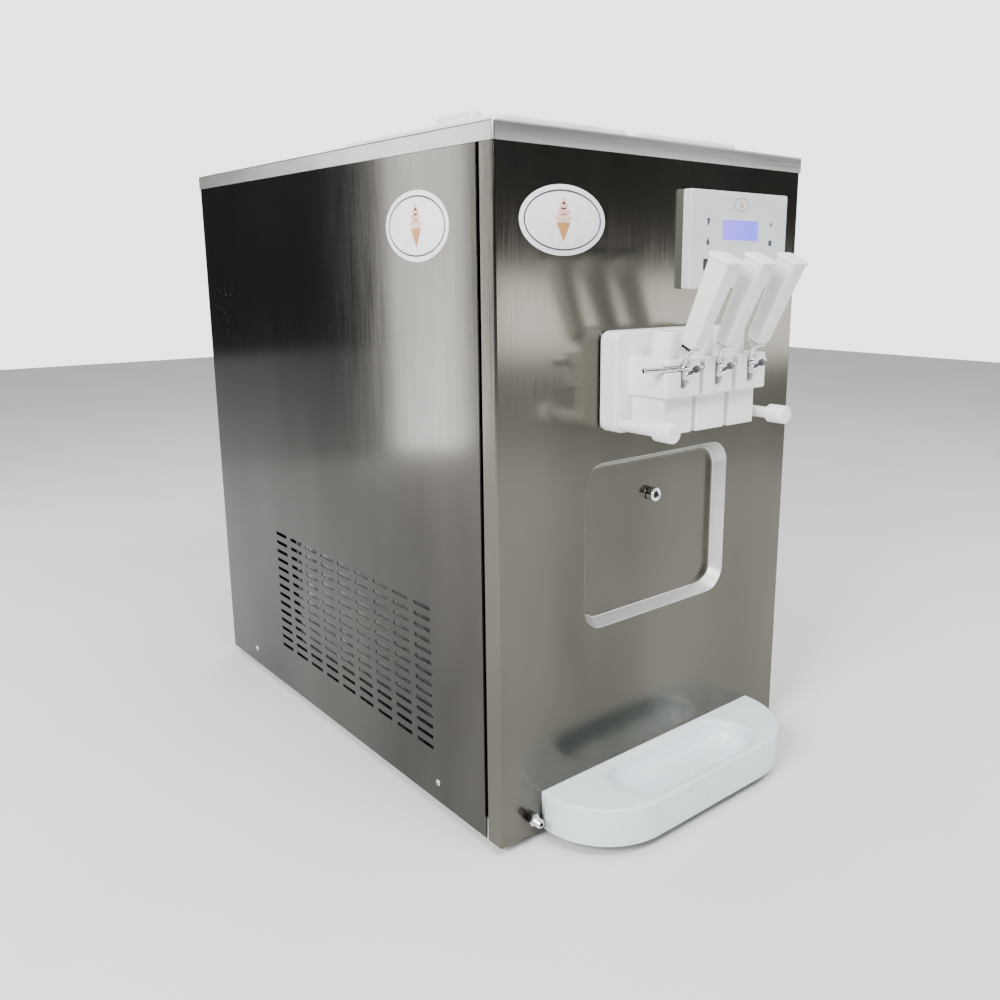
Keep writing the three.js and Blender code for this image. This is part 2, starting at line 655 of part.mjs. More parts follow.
function addCasing() {
  add('base_pan', basePan(), innerSteel);
  add('front_panel', frontPanel(), brushedSteel);
  add('left_side_panel', cut(sidePanelSheet(-1), ventSlots(-1, VENT_COLUMNS), starHoles(-1)), darkSteel);
  add('right_side_panel', cut(sidePanelSheet(1), ventSlots(1, OUTLET_COLUMNS)), darkSteel);
  add('rear_panel', rearPanel(), brushedSteel);
  add('top_cover', topCover(), brushedSteel);
  add('cylinder_deck', cylinderDeck(), innerSteel);
  for (const [name, side] of Object.entries(SIDES)) {
    add(`${name}_frame`, sideFrame(side), innerSteel);
    for (const [end, y] of [['front', FOOT_INSET], ['rear', CASE_DEPTH - FOOT_INSET]]) {
      const profile = [
        [0, -FOOT_HEIGHT],
        [FOOT_RADIUS - FOOT_TAPER, -FOOT_HEIGHT],
        [FOOT_RADIUS, BASE_LIFT - GAP],
        [0, BASE_LIFT - GAP],
      ];
      const foot = turned('z', profile, [side * (HALF_WIDTH - FOOT_INSET), y], 16);
      add(`${end}_${name}_foot`, foot, rubber);
    }
  }
}

// ---------------------------------------------------------------- hoppers, lids and feed tubes

function hopper(side) {
  const x = side * HOPPER_X;
  const ring = (inset, z) => atHeight(
    roundedOutline(HOPPER_WIDTH - inset * 2, HOPPER_LENGTH - inset * 2, HOPPER_RADIUS - inset / 2),
    z,
    x,
    HOPPER_Y,
  );
  const lip = [COVER_TOP + GAP, HOPPER_TOP].map((z) => ring(-HOPPER_LIP, z));
  const outletAt = [side * CYLINDER_X, OUTLET_Y];
  const pipe = bar('z', OUTLET_RADIUS + SHEET, PORT_BOSS_TOP + GAP, HOPPER_FLOOR, outletAt);
  const hollow = loft([ring(HOPPER_TAPER + SHEET, HOPPER_FLOOR), ring(SHEET, HOPPER_TOP + SHEET)]);
  const body = join(loft([ring(HOPPER_TAPER, HOPPER_FLOOR - SHEET), ring(0, HOPPER_TOP)]), loft(lip), pipe);
  return cut(body, hollow, bar('z', OUTLET_RADIUS, 0, HOPPER_TOP, outletAt));
}

function hopperLid(side) {
  const x = side * HOPPER_X;
  const ring = (inset, z) => atHeight(
    roundedOutline(LID_WIDTH - inset * 2, LID_LENGTH - inset * 2, LID_RADIUS - inset),
    z,
    x,
    HOPPER_Y,
  );
  const shell = loft([ring(0, LID_BOTTOM), ring(0, LID_TOP - 3), ring(1, LID_TOP - 1), ring(3, LID_TOP)]);
  const hollow = loft([ring(LID_WALL, LID_BOTTOM - 1), ring(LID_WALL, LID_TOP - LID_WALL)]);
  const gripX = x + side * (LID_WIDTH / 2 - LID_GRIP_WIDTH - LID_WALL);
  const gripY = HOPPER_Y - LID_LENGTH / 2 + LID_GRIP_FROM_FRONT + LID_GRIP_LENGTH / 2;
  const gripRing = (inset, z) => atHeight(
    roundedOutline(LID_GRIP_WIDTH - inset * 2, LID_GRIP_LENGTH - inset * 2, LID_GRIP_WIDTH / 2 - inset),
    z,
    gripX,
    gripY,
  );
  const grip = loft([
    gripRing(0, LID_TOP - LID_WALL / 2),
    gripRing(1, LID_TOP + LID_GRIP_HEIGHT - 3),
    gripRing(4, LID_TOP + LID_GRIP_HEIGHT),
  ]);
  return join(cut(shell, hollow), grip);
}

// Hollow tube that stands in the hopper outlet on a collar and meters mix and air.
function feedTube(side) {
  const outer = OUTLET_RADIUS - GAP;
  const inner = outer - FEED_TUBE_WALL;
  const seat = HOPPER_FLOOR + GAP;
  const top = HOPPER_TOP - FEED_TUBE_DROP + GAP;
  const end = seat - FEED_TUBE_SPIGOT;
  const collar = outer + FEED_TUBE_COLLAR;
  const collarTop = seat + FEED_TUBE_COLLAR_HEIGHT;
  const profile = [
    [inner, end],
    [outer, end],
    [outer, seat],
    [collar, seat],
    [collar, collarTop],
    [outer, collarTop],
    [outer, top],
    [inner, top],
    [inner, end],
  ];
  return turned('z', profile, [side * CYLINDER_X, OUTLET_Y], 12);
}

function addHoppers() {
  for (const [name, side] of Object.entries(SIDES)) {
    add(`${name}_hopper`, hopper(side), innerSteel);
    add(`${name}_hopper_lid`, hopperLid(side), lidPlastic);
    add(`${name}_feed_tube`, feedTube(side), innerSteel);
  }
}

// ---------------------------------------------------------------- freezing cylinders and beaters

function freezingCylinder(side) {
  const at = [side * CYLINDER_X, CYLINDER_Z];
  const [x0, x1] = [GAP / 2, FLANGE_HALF_WIDTH].map((x) => side * x).sort((a, b) => a - b);
  const [z0, z1] = [CYLINDER_Z - FLANGE_HALF_HEIGHT, CYLINDER_Z + FLANGE_HALF_HEIGHT];
  const bore = CYLINDER_RADIUS - CYLINDER_WALL;
  const bossAt = [side * CYLINDER_X, OUTLET_Y];
  return cut(
    join(
      bar('y', CYLINDER_RADIUS, 1, CYLINDER_LENGTH, at, 24),
      box(x0, x1, 0, FLANGE_THICKNESS, z0, z1),
      bar('y', SHAFT_RADIUS * 2, CYLINDER_LENGTH - CYLINDER_WALL, CYLINDER_REAR, at, 16),
      bar('z', OUTLET_RADIUS + SHEET * 2, CYLINDER_Z, PORT_BOSS_TOP, bossAt),
    ),
    bar('y', bore, -1, CYLINDER_LENGTH - CYLINDER_WALL, at, 24),
    bar('y', SHAFT_RADIUS + GAP, 0, CYLINDER_REAR + 1, at, 14),
    bar('z', OUTLET_RADIUS, CYLINDER_Z, PORT_BOSS_TOP + 1, bossAt),
    bar('y', STUD_RADIUS + GAP, -1, FLANGE_THICKNESS + 1, [side * HAND_SCREW_X, HAND_SCREW_Z], 12),
  );
}

// Scraper: a shaft carrying a helical blade on short arms.
function beater(side) {
  const reach = CYLINDER_RADIUS - CYLINDER_WALL - BEATER_CLEARANCE - BLADE_THICKNESS / 2;
  const start = 20;
  const end = CYLINDER_LENGTH - 30;
  const turn = side * BEATER_TURNS * 2 * Math.PI;
  class Helix extends THREE.Curve {
    getPoint(t, target = new THREE.Vector3()) {
      const angle = t * turn;
      return target.set(reach * Math.cos(angle), start + t * (end - start), reach * Math.sin(angle));
    }
  }
  const section = new THREE.Shape(
    [[-1, -1], [1, -1], [1, 1], [-1, 1]].map(([u, v]) => (
      new THREE.Vector2((u * BLADE_THICKNESS) / 2, (v * BLADE_WIDTH) / 2)
    )),
  );
  const blade = new THREE.ExtrudeGeometry(section, { steps: BEATER_TURNS * 10, extrudePath: new Helix() });
  const arms = [0.06, 0.35, 0.65, 0.94].map((t) => (
    new THREE.CylinderGeometry(3.5, 3.5, reach, 6)
      .translate(0, reach / 2, 0)
      .rotateZ(-Math.PI / 2)
      .rotateY(-t * turn)
      .translate(0, start + t * (end - start), 0)
  ));
  const shaft = bar('y', SHAFT_RADIUS, 8, GEARBOX_FRONT + BEATER_SOCKET, [0, 0], 14);
  return join(shaft, blade, ...arms).translate(side * CYLINDER_X, 0, CYLINDER_Z);
}

function addCylinders() {
  for (const [name, side] of Object.entries(SIDES)) {
    add(`${name}_freezing_cylinder`, freezingCylinder(side), innerSteel);
    add(`${name}_beater`, beater(side), whiteAcetal);
  }
}

// ---------------------------------------------------------------- discharge head

function headPlateRings(inset, y0, y1) {
  const outline = roundedOutline(
    (HEAD_HALF_WIDTH - inset) * 2,
    (HEAD_HALF_HEIGHT - inset) * 2,
    HEAD_RADIUS - inset,
  );
  return [y0, y1].map((y) => atDepth(outline, y, 0, CYLINDER_Z));
}

const studHoles = () => Object.values(SIDES).map((side) => (
  bar('y', STUD_RADIUS + GAP, HEAD_FRONT - 1, 1, [side * HAND_SCREW_X, HAND_SCREW_Z], 12)
));

function headGasket() {
  const bores = Object.values(SIDES).map((side) => (
    bar('y', CYLINDER_RADIUS - CYLINDER_WALL, HEAD_BACK, 0, [side * CYLINDER_X, CYLINDER_Z], 24)
  ));
  return cut(loft(headPlateRings(3, HEAD_BACK + GAP, -GAP)), ...bores, ...studHoles());
}

// Passage that carries frozen mix from the plate's back to a valve bore.
function productPort(fromX, toX) {
  const start = new THREE.Vector3(fromX, 1, PORT_Z);
  const end = new THREE.Vector3(toX, VALVE_Y, PORT_Z);
  const along = end.clone().sub(start);
  const port = new THREE.CylinderGeometry(PORT_RADIUS, PORT_RADIUS, along.length(), 8);
  const turn = new THREE.Quaternion().setFromUnitVectors(new THREE.Vector3(0, 1, 0), along.normalize());
  return port.applyQuaternion(turn).translate((fromX + toX) / 2, (1 + VALVE_Y) / 2, PORT_Z);
}

function outletStar(x) {
  const points = Array.from({ length: OUTLET_STAR_POINTS * 2 }, (_, i) => {
    const radius = i % 2 ? OUTLET_STAR_RADIUS * OUTLET_STAR_WAIST : OUTLET_STAR_RADIUS;
    const angle = (i * Math.PI) / OUTLET_STAR_POINTS;
    return new THREE.Vector2(radius * Math.cos(angle), radius * Math.sin(angle));
  });
  const star = new THREE.ExtrudeGeometry(new THREE.Shape(points), {
    depth: PISTON_FLOOR + 2,
    bevelEnabled: false,
  });
  return star.translate(x, VALVE_Y, VALVE_BLOCK_BOTTOM - 1);
}

function dischargeBlock() {
  const width = VALVE_BLOCK_HALF_WIDTH;
  const low = VALVE_BLOCK_HALF_WIDTH - LOWER_BLOCK_INSET;
  const back = HEAD_FRONT + 1;
  const body = join(
    loft(headPlateRings(0, HEAD_FRONT, HEAD_BACK)),
    box(-width, width, VALVE_BLOCK_FRONT, back, VALVE_BLOCK_STEP, VALVE_BLOCK_TOP),
    box(-low, low, LOWER_BLOCK_FRONT, back, VALVE_BLOCK_BOTTOM, VALVE_BLOCK_STEP + 1),
  );
  const grooves = [-1, 1].flatMap((side) => {
    const [x0, x1] = [-GROOVE_WIDTH / 2, GROOVE_WIDTH / 2].map((x) => x + (side * VALVE_PITCH) / 2);
    const [upper, lower] = [VALVE_BLOCK_FRONT + GROOVE_DEPTH, LOWER_BLOCK_FRONT + GROOVE_DEPTH];
    return [
      box(x0, x1, VALVE_BLOCK_FRONT - 1, upper, VALVE_BLOCK_STEP, VALVE_BLOCK_TOP + 1),
      box(x0, x1, LOWER_BLOCK_FRONT - 1, lower, VALVE_BLOCK_BOTTOM - 1, VALVE_BLOCK_STEP + 1),
    ];
  });
  const [slotHalf, slotTop] = [SLOT_WIDTH / 2, VALVE_BLOCK_TOP + 1];
  const valves = Object.values(VALVES).flatMap((x) => [
    bar('z', PISTON_RADIUS + GAP, PISTON_BOTTOM - GAP, slotTop, [x, VALVE_Y], 18),
    box(x - slotHalf, x + slotHalf, VALVE_BLOCK_FRONT - 1, VALVE_Y, SLOT_BOTTOM, slotTop),
    outletStar(x),
  ]);
  const pinHole = bar('x', PIN_RADIUS + GAP, -width - 1, width + 1, [PIN_Y, PIN_Z], 12);
  const pinHalf = PIN_RADIUS + GAP;
  const leadIn = box(
    -width - 1,
    -VALVE_PITCH,
    VALVE_BLOCK_FRONT - 1,
    PIN_Y + pinHalf,
    PIN_Z - pinHalf,
    PIN_Z + pinHalf,
  );
  const ports = [
    productPort(-VALVE_PITCH, -VALVE_PITCH),
    productPort(-CYLINDER_X / 2, 0),
    productPort(CYLINDER_X / 2, 0),
    productPort(VALVE_PITCH, VALVE_PITCH),
  ];
  return cut(body, ...grooves, ...valves, pinHole, leadIn, ...ports, ...studHoles());
}

// Draw valve: a piston with a seal groove and a notch for the lever's inner arm.
function piston(x) {
  const [r, base] = [PISTON_RADIUS, PISTON_BOTTOM];
  const seal = (z) => [[r, z], [r - 1.5, z], [r - 1.5, z + 3], [r, z + 3]];
  const top = base + PISTON_HEIGHT;
  const profile = [[0, base], [r, base], ...seal(base + 5)];
  const body = turned('z', [...profile, [r, top - 2], [r - 2, top], [0, top]], [x, VALVE_Y], 18);
  const notchBack = PIN_Y + ARM_LENGTH + 1;
  return cut(body, box(
    x - r - 1,
    x + r + 1,
    VALVE_Y - r - 1,
    notchBack,
    PIN_Z - ARM_GROOVE_DROP,
    PIN_Z + ARM_GROOVE_RISE,
  ));
}

const tilt = THREE.MathUtils.degToRad(LEVER_TILT);

// Lever around the pin, which is its local origin.
function lever() {
  const half = LEVER_WIDTH / 2;
  const plateHalf = GRIP_BOTTOM * 0.38;
  const neck = join(
    bar('z', NECK_RADIUS, 2, GRIP_START + 40, [0, 0], 10),
    box(-plateHalf, plateHalf, -plateHalf, plateHalf, GRIP_START - GAP - 2.5, GRIP_START - GAP),
  ).rotateX(tilt);
  return cut(
    join(
      bar('x', HUB_RADIUS, -half, half, [0, 0], 16),
      box(-half + 0.5, half - 0.5, 0, ARM_LENGTH, -ARM_THICKNESS / 2, ARM_THICKNESS / 2),
      bar('x', LUG_RADIUS, -half, half, [-LUG_SETBACK, -LUG_DROP], 12),
      neck,
    ),
    bar('x', PIN_RADIUS + GAP, -half - 1, half + 1, [0, 0], 10),
    adjusterRod(ADJUSTER_RADIUS + GAP, -20, 20),
  );
}

// Round bar on the adjusting screw's axis, through the lever's lower lug.
function adjusterRod(radius, from, to, sides = 8) {
  const turn = THREE.MathUtils.degToRad(-90 + ADJUSTER_ANGLE);
  return new THREE.CylinderGeometry(radius, radius, to - from, sides)
    .rotateX(Math.PI / 2)
    .translate(0, 0, (from + to) / 2)
    .rotateX(-turn)
    .translate(0, -LUG_SETBACK, -LUG_DROP);
}

function adjuster() {
  const front = ADJUSTER_LENGTH - LUG_RADIUS - ADJUSTER_RADIUS;
  return join(
    adjusterRod(ADJUSTER_RADIUS, -LUG_RADIUS, front),
    adjusterRod(ADJUSTER_RADIUS * 2, front - 4, front, 6),
  );
}

// Tapered eight-sided grip with a thin cap, around the lever's neck.
function grip() {
  const ring = (size, z) => {
    const side = size / 2;
    const inner = side * (1 - GRIP_CHAMFER * 2);
    const corners = [[side, inner], [inner, side], [-inner, side], [-side, inner]];
    const outline = [...corners, ...corners.map(([u, v]) => [-u, -v])];
    return atHeight(outline, z);
  };
  const end = GRIP_START + GRIP_LENGTH;
  const body = loft([
    ring(GRIP_BOTTOM * 0.75, GRIP_START),
    ring(GRIP_BOTTOM, GRIP_START + 5),
    ring(GRIP_TOP, end - GRIP_CAP),
    ring(GRIP_TOP + 3, end - GRIP_CAP + 0.5),
    ring(GRIP_TOP + 3, end - 1),
    ring(GRIP_TOP + 1, end),
  ]);
  const bore = bar('z', NECK_RADIUS + GAP, GRIP_START - 1, GRIP_START + 40 + GAP, [0, 0], 10);
  return cut(body, bore).rotateX(tilt);
}

// Round rod between two points.
function rod(start, finish, radius, sides = 10) {
  const along = finish.clone().sub(start);
  const middle = start.clone().add(finish).multiplyScalar(0.5);
  const turn = new THREE.Quaternion().setFromUnitVectors(
    new THREE.Vector3(0, 1, 0),
    along.clone().normalize(),
  );
  return new THREE.CylinderGeometry(radius, radius, along.length(), sides)
    .applyQuaternion(turn)
    .translate(middle.x, middle.y, middle.z);
}

// Straight through the three hubs, with a tail bent back at the left for drawing it out.
function pivotPin() {
  const bend = THREE.MathUtils.degToRad(PIN_TAIL_BEND);
  const start = new THREE.Vector3(VALVE_BLOCK_HALF_WIDTH + 2, PIN_Y, PIN_Z);
  const corner = new THREE.Vector3(-VALVE_BLOCK_HALF_WIDTH, PIN_Y, PIN_Z);
  const reach = new THREE.Vector3(-PIN_TAIL * Math.cos(bend), PIN_TAIL * Math.sin(bend), 0);
  const end = corner.clone().add(reach);
  const elbow = new THREE.SphereGeometry(PIN_RADIUS * 1.02, 10, 6).translate(corner.x, corner.y, corner.z);
  return join(rod(start, corner, PIN_RADIUS), rod(corner, end, PIN_RADIUS), elbow);
}

function handScrew(side) {
  const seat = HEAD_FRONT - GAP;
  const shoulder = seat - STEM_LENGTH;
  const end = shoulder - KNOB_LENGTH;
  const at = [side * HAND_SCREW_X, HAND_SCREW_Z];
  const profile = [
    [0, end],
    [KNOB_RADIUS - KNOB_EDGE, end],
    [KNOB_RADIUS, end + KNOB_EDGE],
    [KNOB_RADIUS, shoulder - KNOB_EDGE],
    [KNOB_RADIUS - KNOB_EDGE, shoulder],
    [STEM_RADIUS, shoulder],
    [STEM_RADIUS, seat],
    [STUD_RADIUS, seat],
    [STUD_RADIUS, FLANGE_THICKNESS + STUD_END],
    [0, FLANGE_THICKNESS + STUD_END],
  ];
  return turned('y', profile, at, 16);
}

function addHead() {
  add('head_gasket', headGasket(), rubber);
  add('discharge_block', dischargeBlock(), whiteAcetal);
  add('pivot_pin', pivotPin(), chrome);
  for (const [name, side] of Object.entries(SIDES)) {
    add(`${name}_hand_screw`, handScrew(side), whiteAcetal);
  }
  for (const [name, x] of Object.entries(VALVES)) {
    add(`${name}_piston`, piston(x), whiteAcetal);
    const pivot = new THREE.Group();
    pivot.position.set(x, PIN_Y, PIN_Z);
    add(`${name}_lever`, lever(), chrome, pivot);
    add(`${name}_grip`, grip(), whiteAcetal, pivot);
    add(`${name}_adjusting_screw`, adjuster(), chrome, pivot);
    machine.add(pivot);
  }
}

// ---------------------------------------------------------------- control panel

const KEYS = {
  auto: CONTROL_X - KEY_PAIR_SPLIT / 2 - KEY_PITCH,
  wash: CONTROL_X - KEY_PAIR_SPLIT / 2,
  set: CONTROL_X + KEY_PAIR_SPLIT / 2,
  stop: CONTROL_X + KEY_PAIR_SPLIT / 2 + KEY_PITCH,
};

const centredBox = (x, z, width, height, y0, y1) => (
  box(x - width / 2, x + width / 2, y0, y1, z - height / 2, z + height / 2)
);

function controlPanel() {
  const middle = CONTROL_Z + CONTROL_HEIGHT / 2;
  const inside = [CONTROL_WIDTH - CONTROL_WALL * 2, CONTROL_HEIGHT - CONTROL_WALL * 2];
  const hole = (x, z, width, height) => (
    centredBox(x, z, width + GAP * 2, height + GAP * 2, CONTROL_FRONT - 1, CONTROL_INNER + 1)
  );
  return cut(
    centredBox(CONTROL_X, middle, CONTROL_WIDTH, CONTROL_HEIGHT, CONTROL_FRONT, CONTROL_BACK),
    centredBox(CONTROL_X, middle, ...inside, CONTROL_INNER, 1),
    hole(CONTROL_X, DISPLAY_Z, DISPLAY_WIDTH, DISPLAY_HEIGHT),
    ...Object.values(KEYS).map((x) => hole(x, KEY_Z, KEY_WIDTH, KEY_HEIGHT)),
  );
}

function addControls() {
  add('control_panel', controlPanel(), panelGrey);
  const displayFront = CONTROL_FRONT + DISPLAY_INSET;
  const display = centredBox(
    CONTROL_X,
    DISPLAY_Z,
    DISPLAY_WIDTH,
    DISPLAY_HEIGHT,
    displayFront,
    BOARD_FRONT - GAP,
  );
  add('display', display, displayBlue);
  const boardWidth = CONTROL_WIDTH - (CONTROL_WALL + GAP) * 2;
  const boardHeight = CONTROL_HEIGHT - (CONTROL_WALL + GAP) * 2;
  const middle = CONTROL_Z + CONTROL_HEIGHT / 2;
  const back = BOARD_FRONT + BOARD_THICKNESS;
  add('control_board', centredBox(CONTROL_X, middle, boardWidth, boardHeight, BOARD_FRONT, back), boardGreen);
  const flangeFront = CONTROL_INNER + GAP;
  const [flangeWidth, flangeHeight] = [KEY_WIDTH + KEY_FLANGE * 2, KEY_HEIGHT + KEY_FLANGE * 3];
  for (const [name, x] of Object.entries(KEYS)) {
    const face = centredBox(x, KEY_Z, KEY_WIDTH, KEY_HEIGHT, CONTROL_FRONT - KEY_PROUD, flangeFront + 1);
    const flange = centredBox(x, KEY_Z, flangeWidth, flangeHeight, flangeFront, flangeFront + 1);
    add(`${name}_key`, join(face, flange), darkPlastic);
  }
}

// ---------------------------------------------------------------- drip tray, spout and drain

// Hooks on the tray's back; grown by a clearance they are also the slots in the front panel.
function trayTabs(clearance) {
  const [half, c] = [TAB_WIDTH / 2, clearance];
  return [-1, 1].map((side) => {
    const x = (side * TAB_SPACING) / 2;
    return box(x - half - c, x + half + c, -GAP - 1, TAB_REACH + c, TAB_Z - c, TAB_Z + TAB_THICKNESS + c);
  });
}

// Half-stadium ring: straight back edge, two large front corners, straight front edge.
function trayRing(inset, z) {
  const radius = TRAY_RADIUS - inset;
  const arcX = TRAY_WIDTH / 2 - TRAY_RADIUS;
  const arcY = TRAY_RADIUS - TRAY_DEPTH;
  const steps = 10;
  const arc = (side, from) => Array.from({ length: steps + 1 }, (_, i) => {
    const angle = THREE.MathUtils.degToRad(from + (90 * i) / steps);
    return new THREE.Vector3(side * arcX + radius * Math.cos(angle), arcY + radius * Math.sin(angle), z);
  });
  const backY = -GAP - Math.max(inset - 4, 0);
  const corner = (side) => new THREE.Vector3(side * (arcX + radius), backY, z);
  return [corner(-1), ...arc(-1, 180), ...arc(1, 270), corner(1)];
}

function basinRing(inset, z) {
  const outline = roundedOutline(BASIN_LENGTH - inset * 2, BASIN_WIDTH - inset * 2, BASIN_WIDTH / 2, 6);
  return atHeight(outline, z, 0, -BASIN_BACK - BASIN_WIDTH / 2);
}

function dripTray() {
  const top = TRAY_Z + TRAY_HEIGHT;
  const floor = top - BASIN_DEPTH;
  const wall = TRAY_WALL;
  const outer = loft([trayRing(1, TRAY_Z), trayRing(0, top - 4), trayRing(1.2, top - 1.2), trayRing(4, top)]);
  const basin = (grow) => loft([
    basinRing(14 - grow, floor - grow),
    basinRing(5 - grow, floor + 5 - grow),
    basinRing(-grow, top - 2),
    basinRing(-2 - grow, top + 2),
  ]);
  const underside = cut(
    loft([trayRing(4 + wall, TRAY_Z - 1), trayRing(4 + wall, top - wall)]),
    basin(wall),
  );
  return join(cut(outer, underside, basin(0)), ...trayTabs(0));
}

function drainFitting() {
  const at = [DRAIN_X, DRAIN_Z];
  const barb = [
    [0, -DRAIN_REACH],
    [4.5, -DRAIN_REACH],
    [5.5, -DRAIN_REACH + 4],
    [4.5, -DRAIN_REACH + 5],
    [4.5, -7],
    [DRAIN_STEM, -7],
    [DRAIN_STEM, SHEET],
    [0, SHEET],
  ];
  const hex = bar('y', DRAIN_HEX, -GAP - 8, -GAP, at, 6);
  return cut(join(turned('y', barb, at, 12), hex), bar('y', DRAIN_BORE, -DRAIN_REACH - 1, -2, at, 10));
}

function dripSpout() {
  const seat = RECESS_DEPTH - GAP;
  const [bore, stem] = [SPOUT_BORE, SPOUT_BORE + SHEET];
  const profile = [
    [bore, seat - SPOUT_PROUD],
    [SPOUT_RADIUS - 1.5, seat - SPOUT_PROUD],
    [SPOUT_RADIUS, seat - SPOUT_PROUD + 1.5],
    [SPOUT_RADIUS, seat],
    [stem, seat],
    [stem, seat + SPOUT_TAIL],
    [bore, seat + SPOUT_TAIL],
    [bore, seat - SPOUT_PROUD],
  ];
  return turned('y', profile, [0, SPOUT_Z], 16);
}

function addTrayAndDrains() {
  add('drip_tray', dripTray(), whitePlastic);
  add('drain_fitting', drainFitting(), chrome);
  add('drip_spout', dripSpout(), chrome);
}

// ---------------------------------------------------------------- drive

function gearbox() {
  const top = CYLINDER_Z + CYLINDER_RADIUS + 5;
  const body = cut(
    box(-GEARBOX_HALF_WIDTH, GEARBOX_HALF_WIDTH, GEARBOX_FRONT, GEARBOX_REAR, DECK_Z + DECK_SHEET + GAP, top),
    box(-CYLINDER_X / 2, CYLINDER_X / 2, GEARBOX_FRONT - 1, GEARBOX_FRONT + 20, CYLINDER_Z, top + 1),
  );
  const socket = (x, from, to) => bar('y', SHAFT_RADIUS + GAP, from, to, [x, CYLINDER_Z]);
  return cut(
    body,
    socket(-CYLINDER_X, GEARBOX_FRONT - 1, GEARBOX_FRONT + BEATER_SOCKET + GAP),
    socket(CYLINDER_X, GEARBOX_FRONT - 1, GEARBOX_FRONT + BEATER_SOCKET + GAP),
    socket(0, GEARBOX_REAR - PULLEY_SOCKET - GAP, GEARBOX_REAR + 1),
  );
}

function pulley(radius, shaftRadius, shaftFrom, z) {
  const end = PULLEY_Y + PULLEY_WIDTH;
  const profile = [
    [0, shaftFrom],
    [shaftRadius, shaftFrom],
    [shaftRadius, PULLEY_Y],
    [radius, PULLEY_Y],
    [radius, end],
    [radius * 0.7, end],
    [radius * 0.5, end - 4],
    [0, end - 4],
  ];
  return turned('y', profile, [0, z], 20);
}

// Outline that a belt makes around the two pulleys, grown by an offset from their rims.
function beltOutline(offset) {
  const [small, large] = [MOTOR_PULLEY_RADIUS + offset, GEAR_PULLEY_RADIUS + offset];
  const lean = Math.asin((large - small) / MOTOR_DROP);
  const steps = 12;
  const arc = (radius, z, from, to) => Array.from({ length: steps + 1 }, (_, i) => {
    const angle = from + ((to - from) * i) / steps;
    return [radius * Math.cos(angle), z + radius * Math.sin(angle)];
  });
  return [
    ...arc(large, CYLINDER_Z, -lean, Math.PI + lean),
    ...arc(small, MOTOR_Z, Math.PI + lean, 2 * Math.PI - lean),
  ];
}

function driveBelt() {
  const [y0, y1] = [PULLEY_Y + 1, PULLEY_Y + PULLEY_WIDTH - 1];
  const loop = (offset, from, to) => loft([from, to].map((y) => atDepth(beltOutline(offset), y)));
  return cut(loop(BELT_CLEARANCE + BELT_THICKNESS, y0, y1), loop(BELT_CLEARANCE, y0 - 1, y1 + 1));
}

function driveMotor() {
  const front = MOTOR_REAR - MOTOR_LENGTH;
  const at = [0, MOTOR_Z];
  const r = MOTOR_RADIUS;
  const profile = [
    [0, front],
    [r * 0.7, front],
    [r, front + 15],
    [r, MOTOR_REAR - 15],
    [r * 0.7, MOTOR_REAR],
    [0, MOTOR_REAR],
  ];
  const foot = box(-40, 40, front + 20, MOTOR_REAR - 20, MOTOR_Z, DECK_Z - GAP);
  const socket = bar('y', MOTOR_SHAFT + GAP, MOTOR_REAR - PULLEY_SOCKET - GAP, MOTOR_REAR + 1, at);
  return cut(join(turned('y', profile, at, 20), foot), socket);
}

function addDrive() {
  add('gearbox', gearbox(), castIron);
  const [gearShaft, motorShaft] = [GEARBOX_REAR - PULLEY_SOCKET, MOTOR_REAR - PULLEY_SOCKET];
  add('gearbox_pulley', pulley(GEAR_PULLEY_RADIUS, SHAFT_RADIUS, gearShaft, CYLINDER_Z), castIron);
  add('drive_motor', driveMotor(), blackPaint);
  add('motor_pulley', pulley(MOTOR_PULLEY_RADIUS, MOTOR_SHAFT, motorShaft, MOTOR_Z), castIron);
  add('drive_belt', driveBelt(), rubber);
}

// ---------------------------------------------------------------- refrigeration and power

function compressor() {
  const [r, h] = [COMPRESSOR_RADIUS, COMPRESSOR_HEIGHT];
  const at = [COMPRESSOR_X, COMPRESSOR_Y];
  const dome = Array.from({ length: 4 }, (_, i) => {
    const angle = (i * Math.PI) / 6;
    return [r * Math.cos(angle), ON_FLOOR + h - r / 2 + (r / 2) * Math.sin(angle)];
  });
  dome[3][0] = 0;
  const profile = [[0, ON_FLOOR + 10], [r - 8, ON_FLOOR + 10], [r, ON_FLOOR + 22], ...dome];
  const [x, y] = at;
  const plate = box(x - r, x + r, y - r, y + r, ON_FLOOR, ON_FLOOR + 4);
  const stand = bar('z', r * 0.5, ON_FLOOR + 2, ON_FLOOR + 20, at, 16);
  const valve = bar('x', 8, x - r - 25, x, [y - 20, ON_FLOOR + h * 0.6], 10);
  return join(turned('z', profile, at, 20), plate, stand, valve);
}

function condenser() {
  const [x0, x1] = [CONDENSER_X, CONDENSER_X + CONDENSER_THICKNESS];
  const [y0, y1] = [CONDENSER_Y, CONDENSER_Y + CONDENSER_LENGTH];
  const top = ON_FLOOR + CONDENSER_HEIGHT;
  const core = box(x0 + 2, x1 - 2, y0 + 1, y1 - 1, ON_FLOOR + 2, top - 2);
  const plates = [box(x0, x1, y0, y0 + 3, ON_FLOOR, top), box(x0, x1, y1 - 3, y1, ON_FLOOR, top)];
  const bends = Array.from({ length: 5 }, (_, i) => {
    const z = ON_FLOOR + (CONDENSER_HEIGHT * (i + 1)) / 6;
    return bar('y', 5, y1 - 4, y1 + 12, [(x0 + x1) / 2, z], 8);
  });
  return join(core, ...plates, ...bends);
}

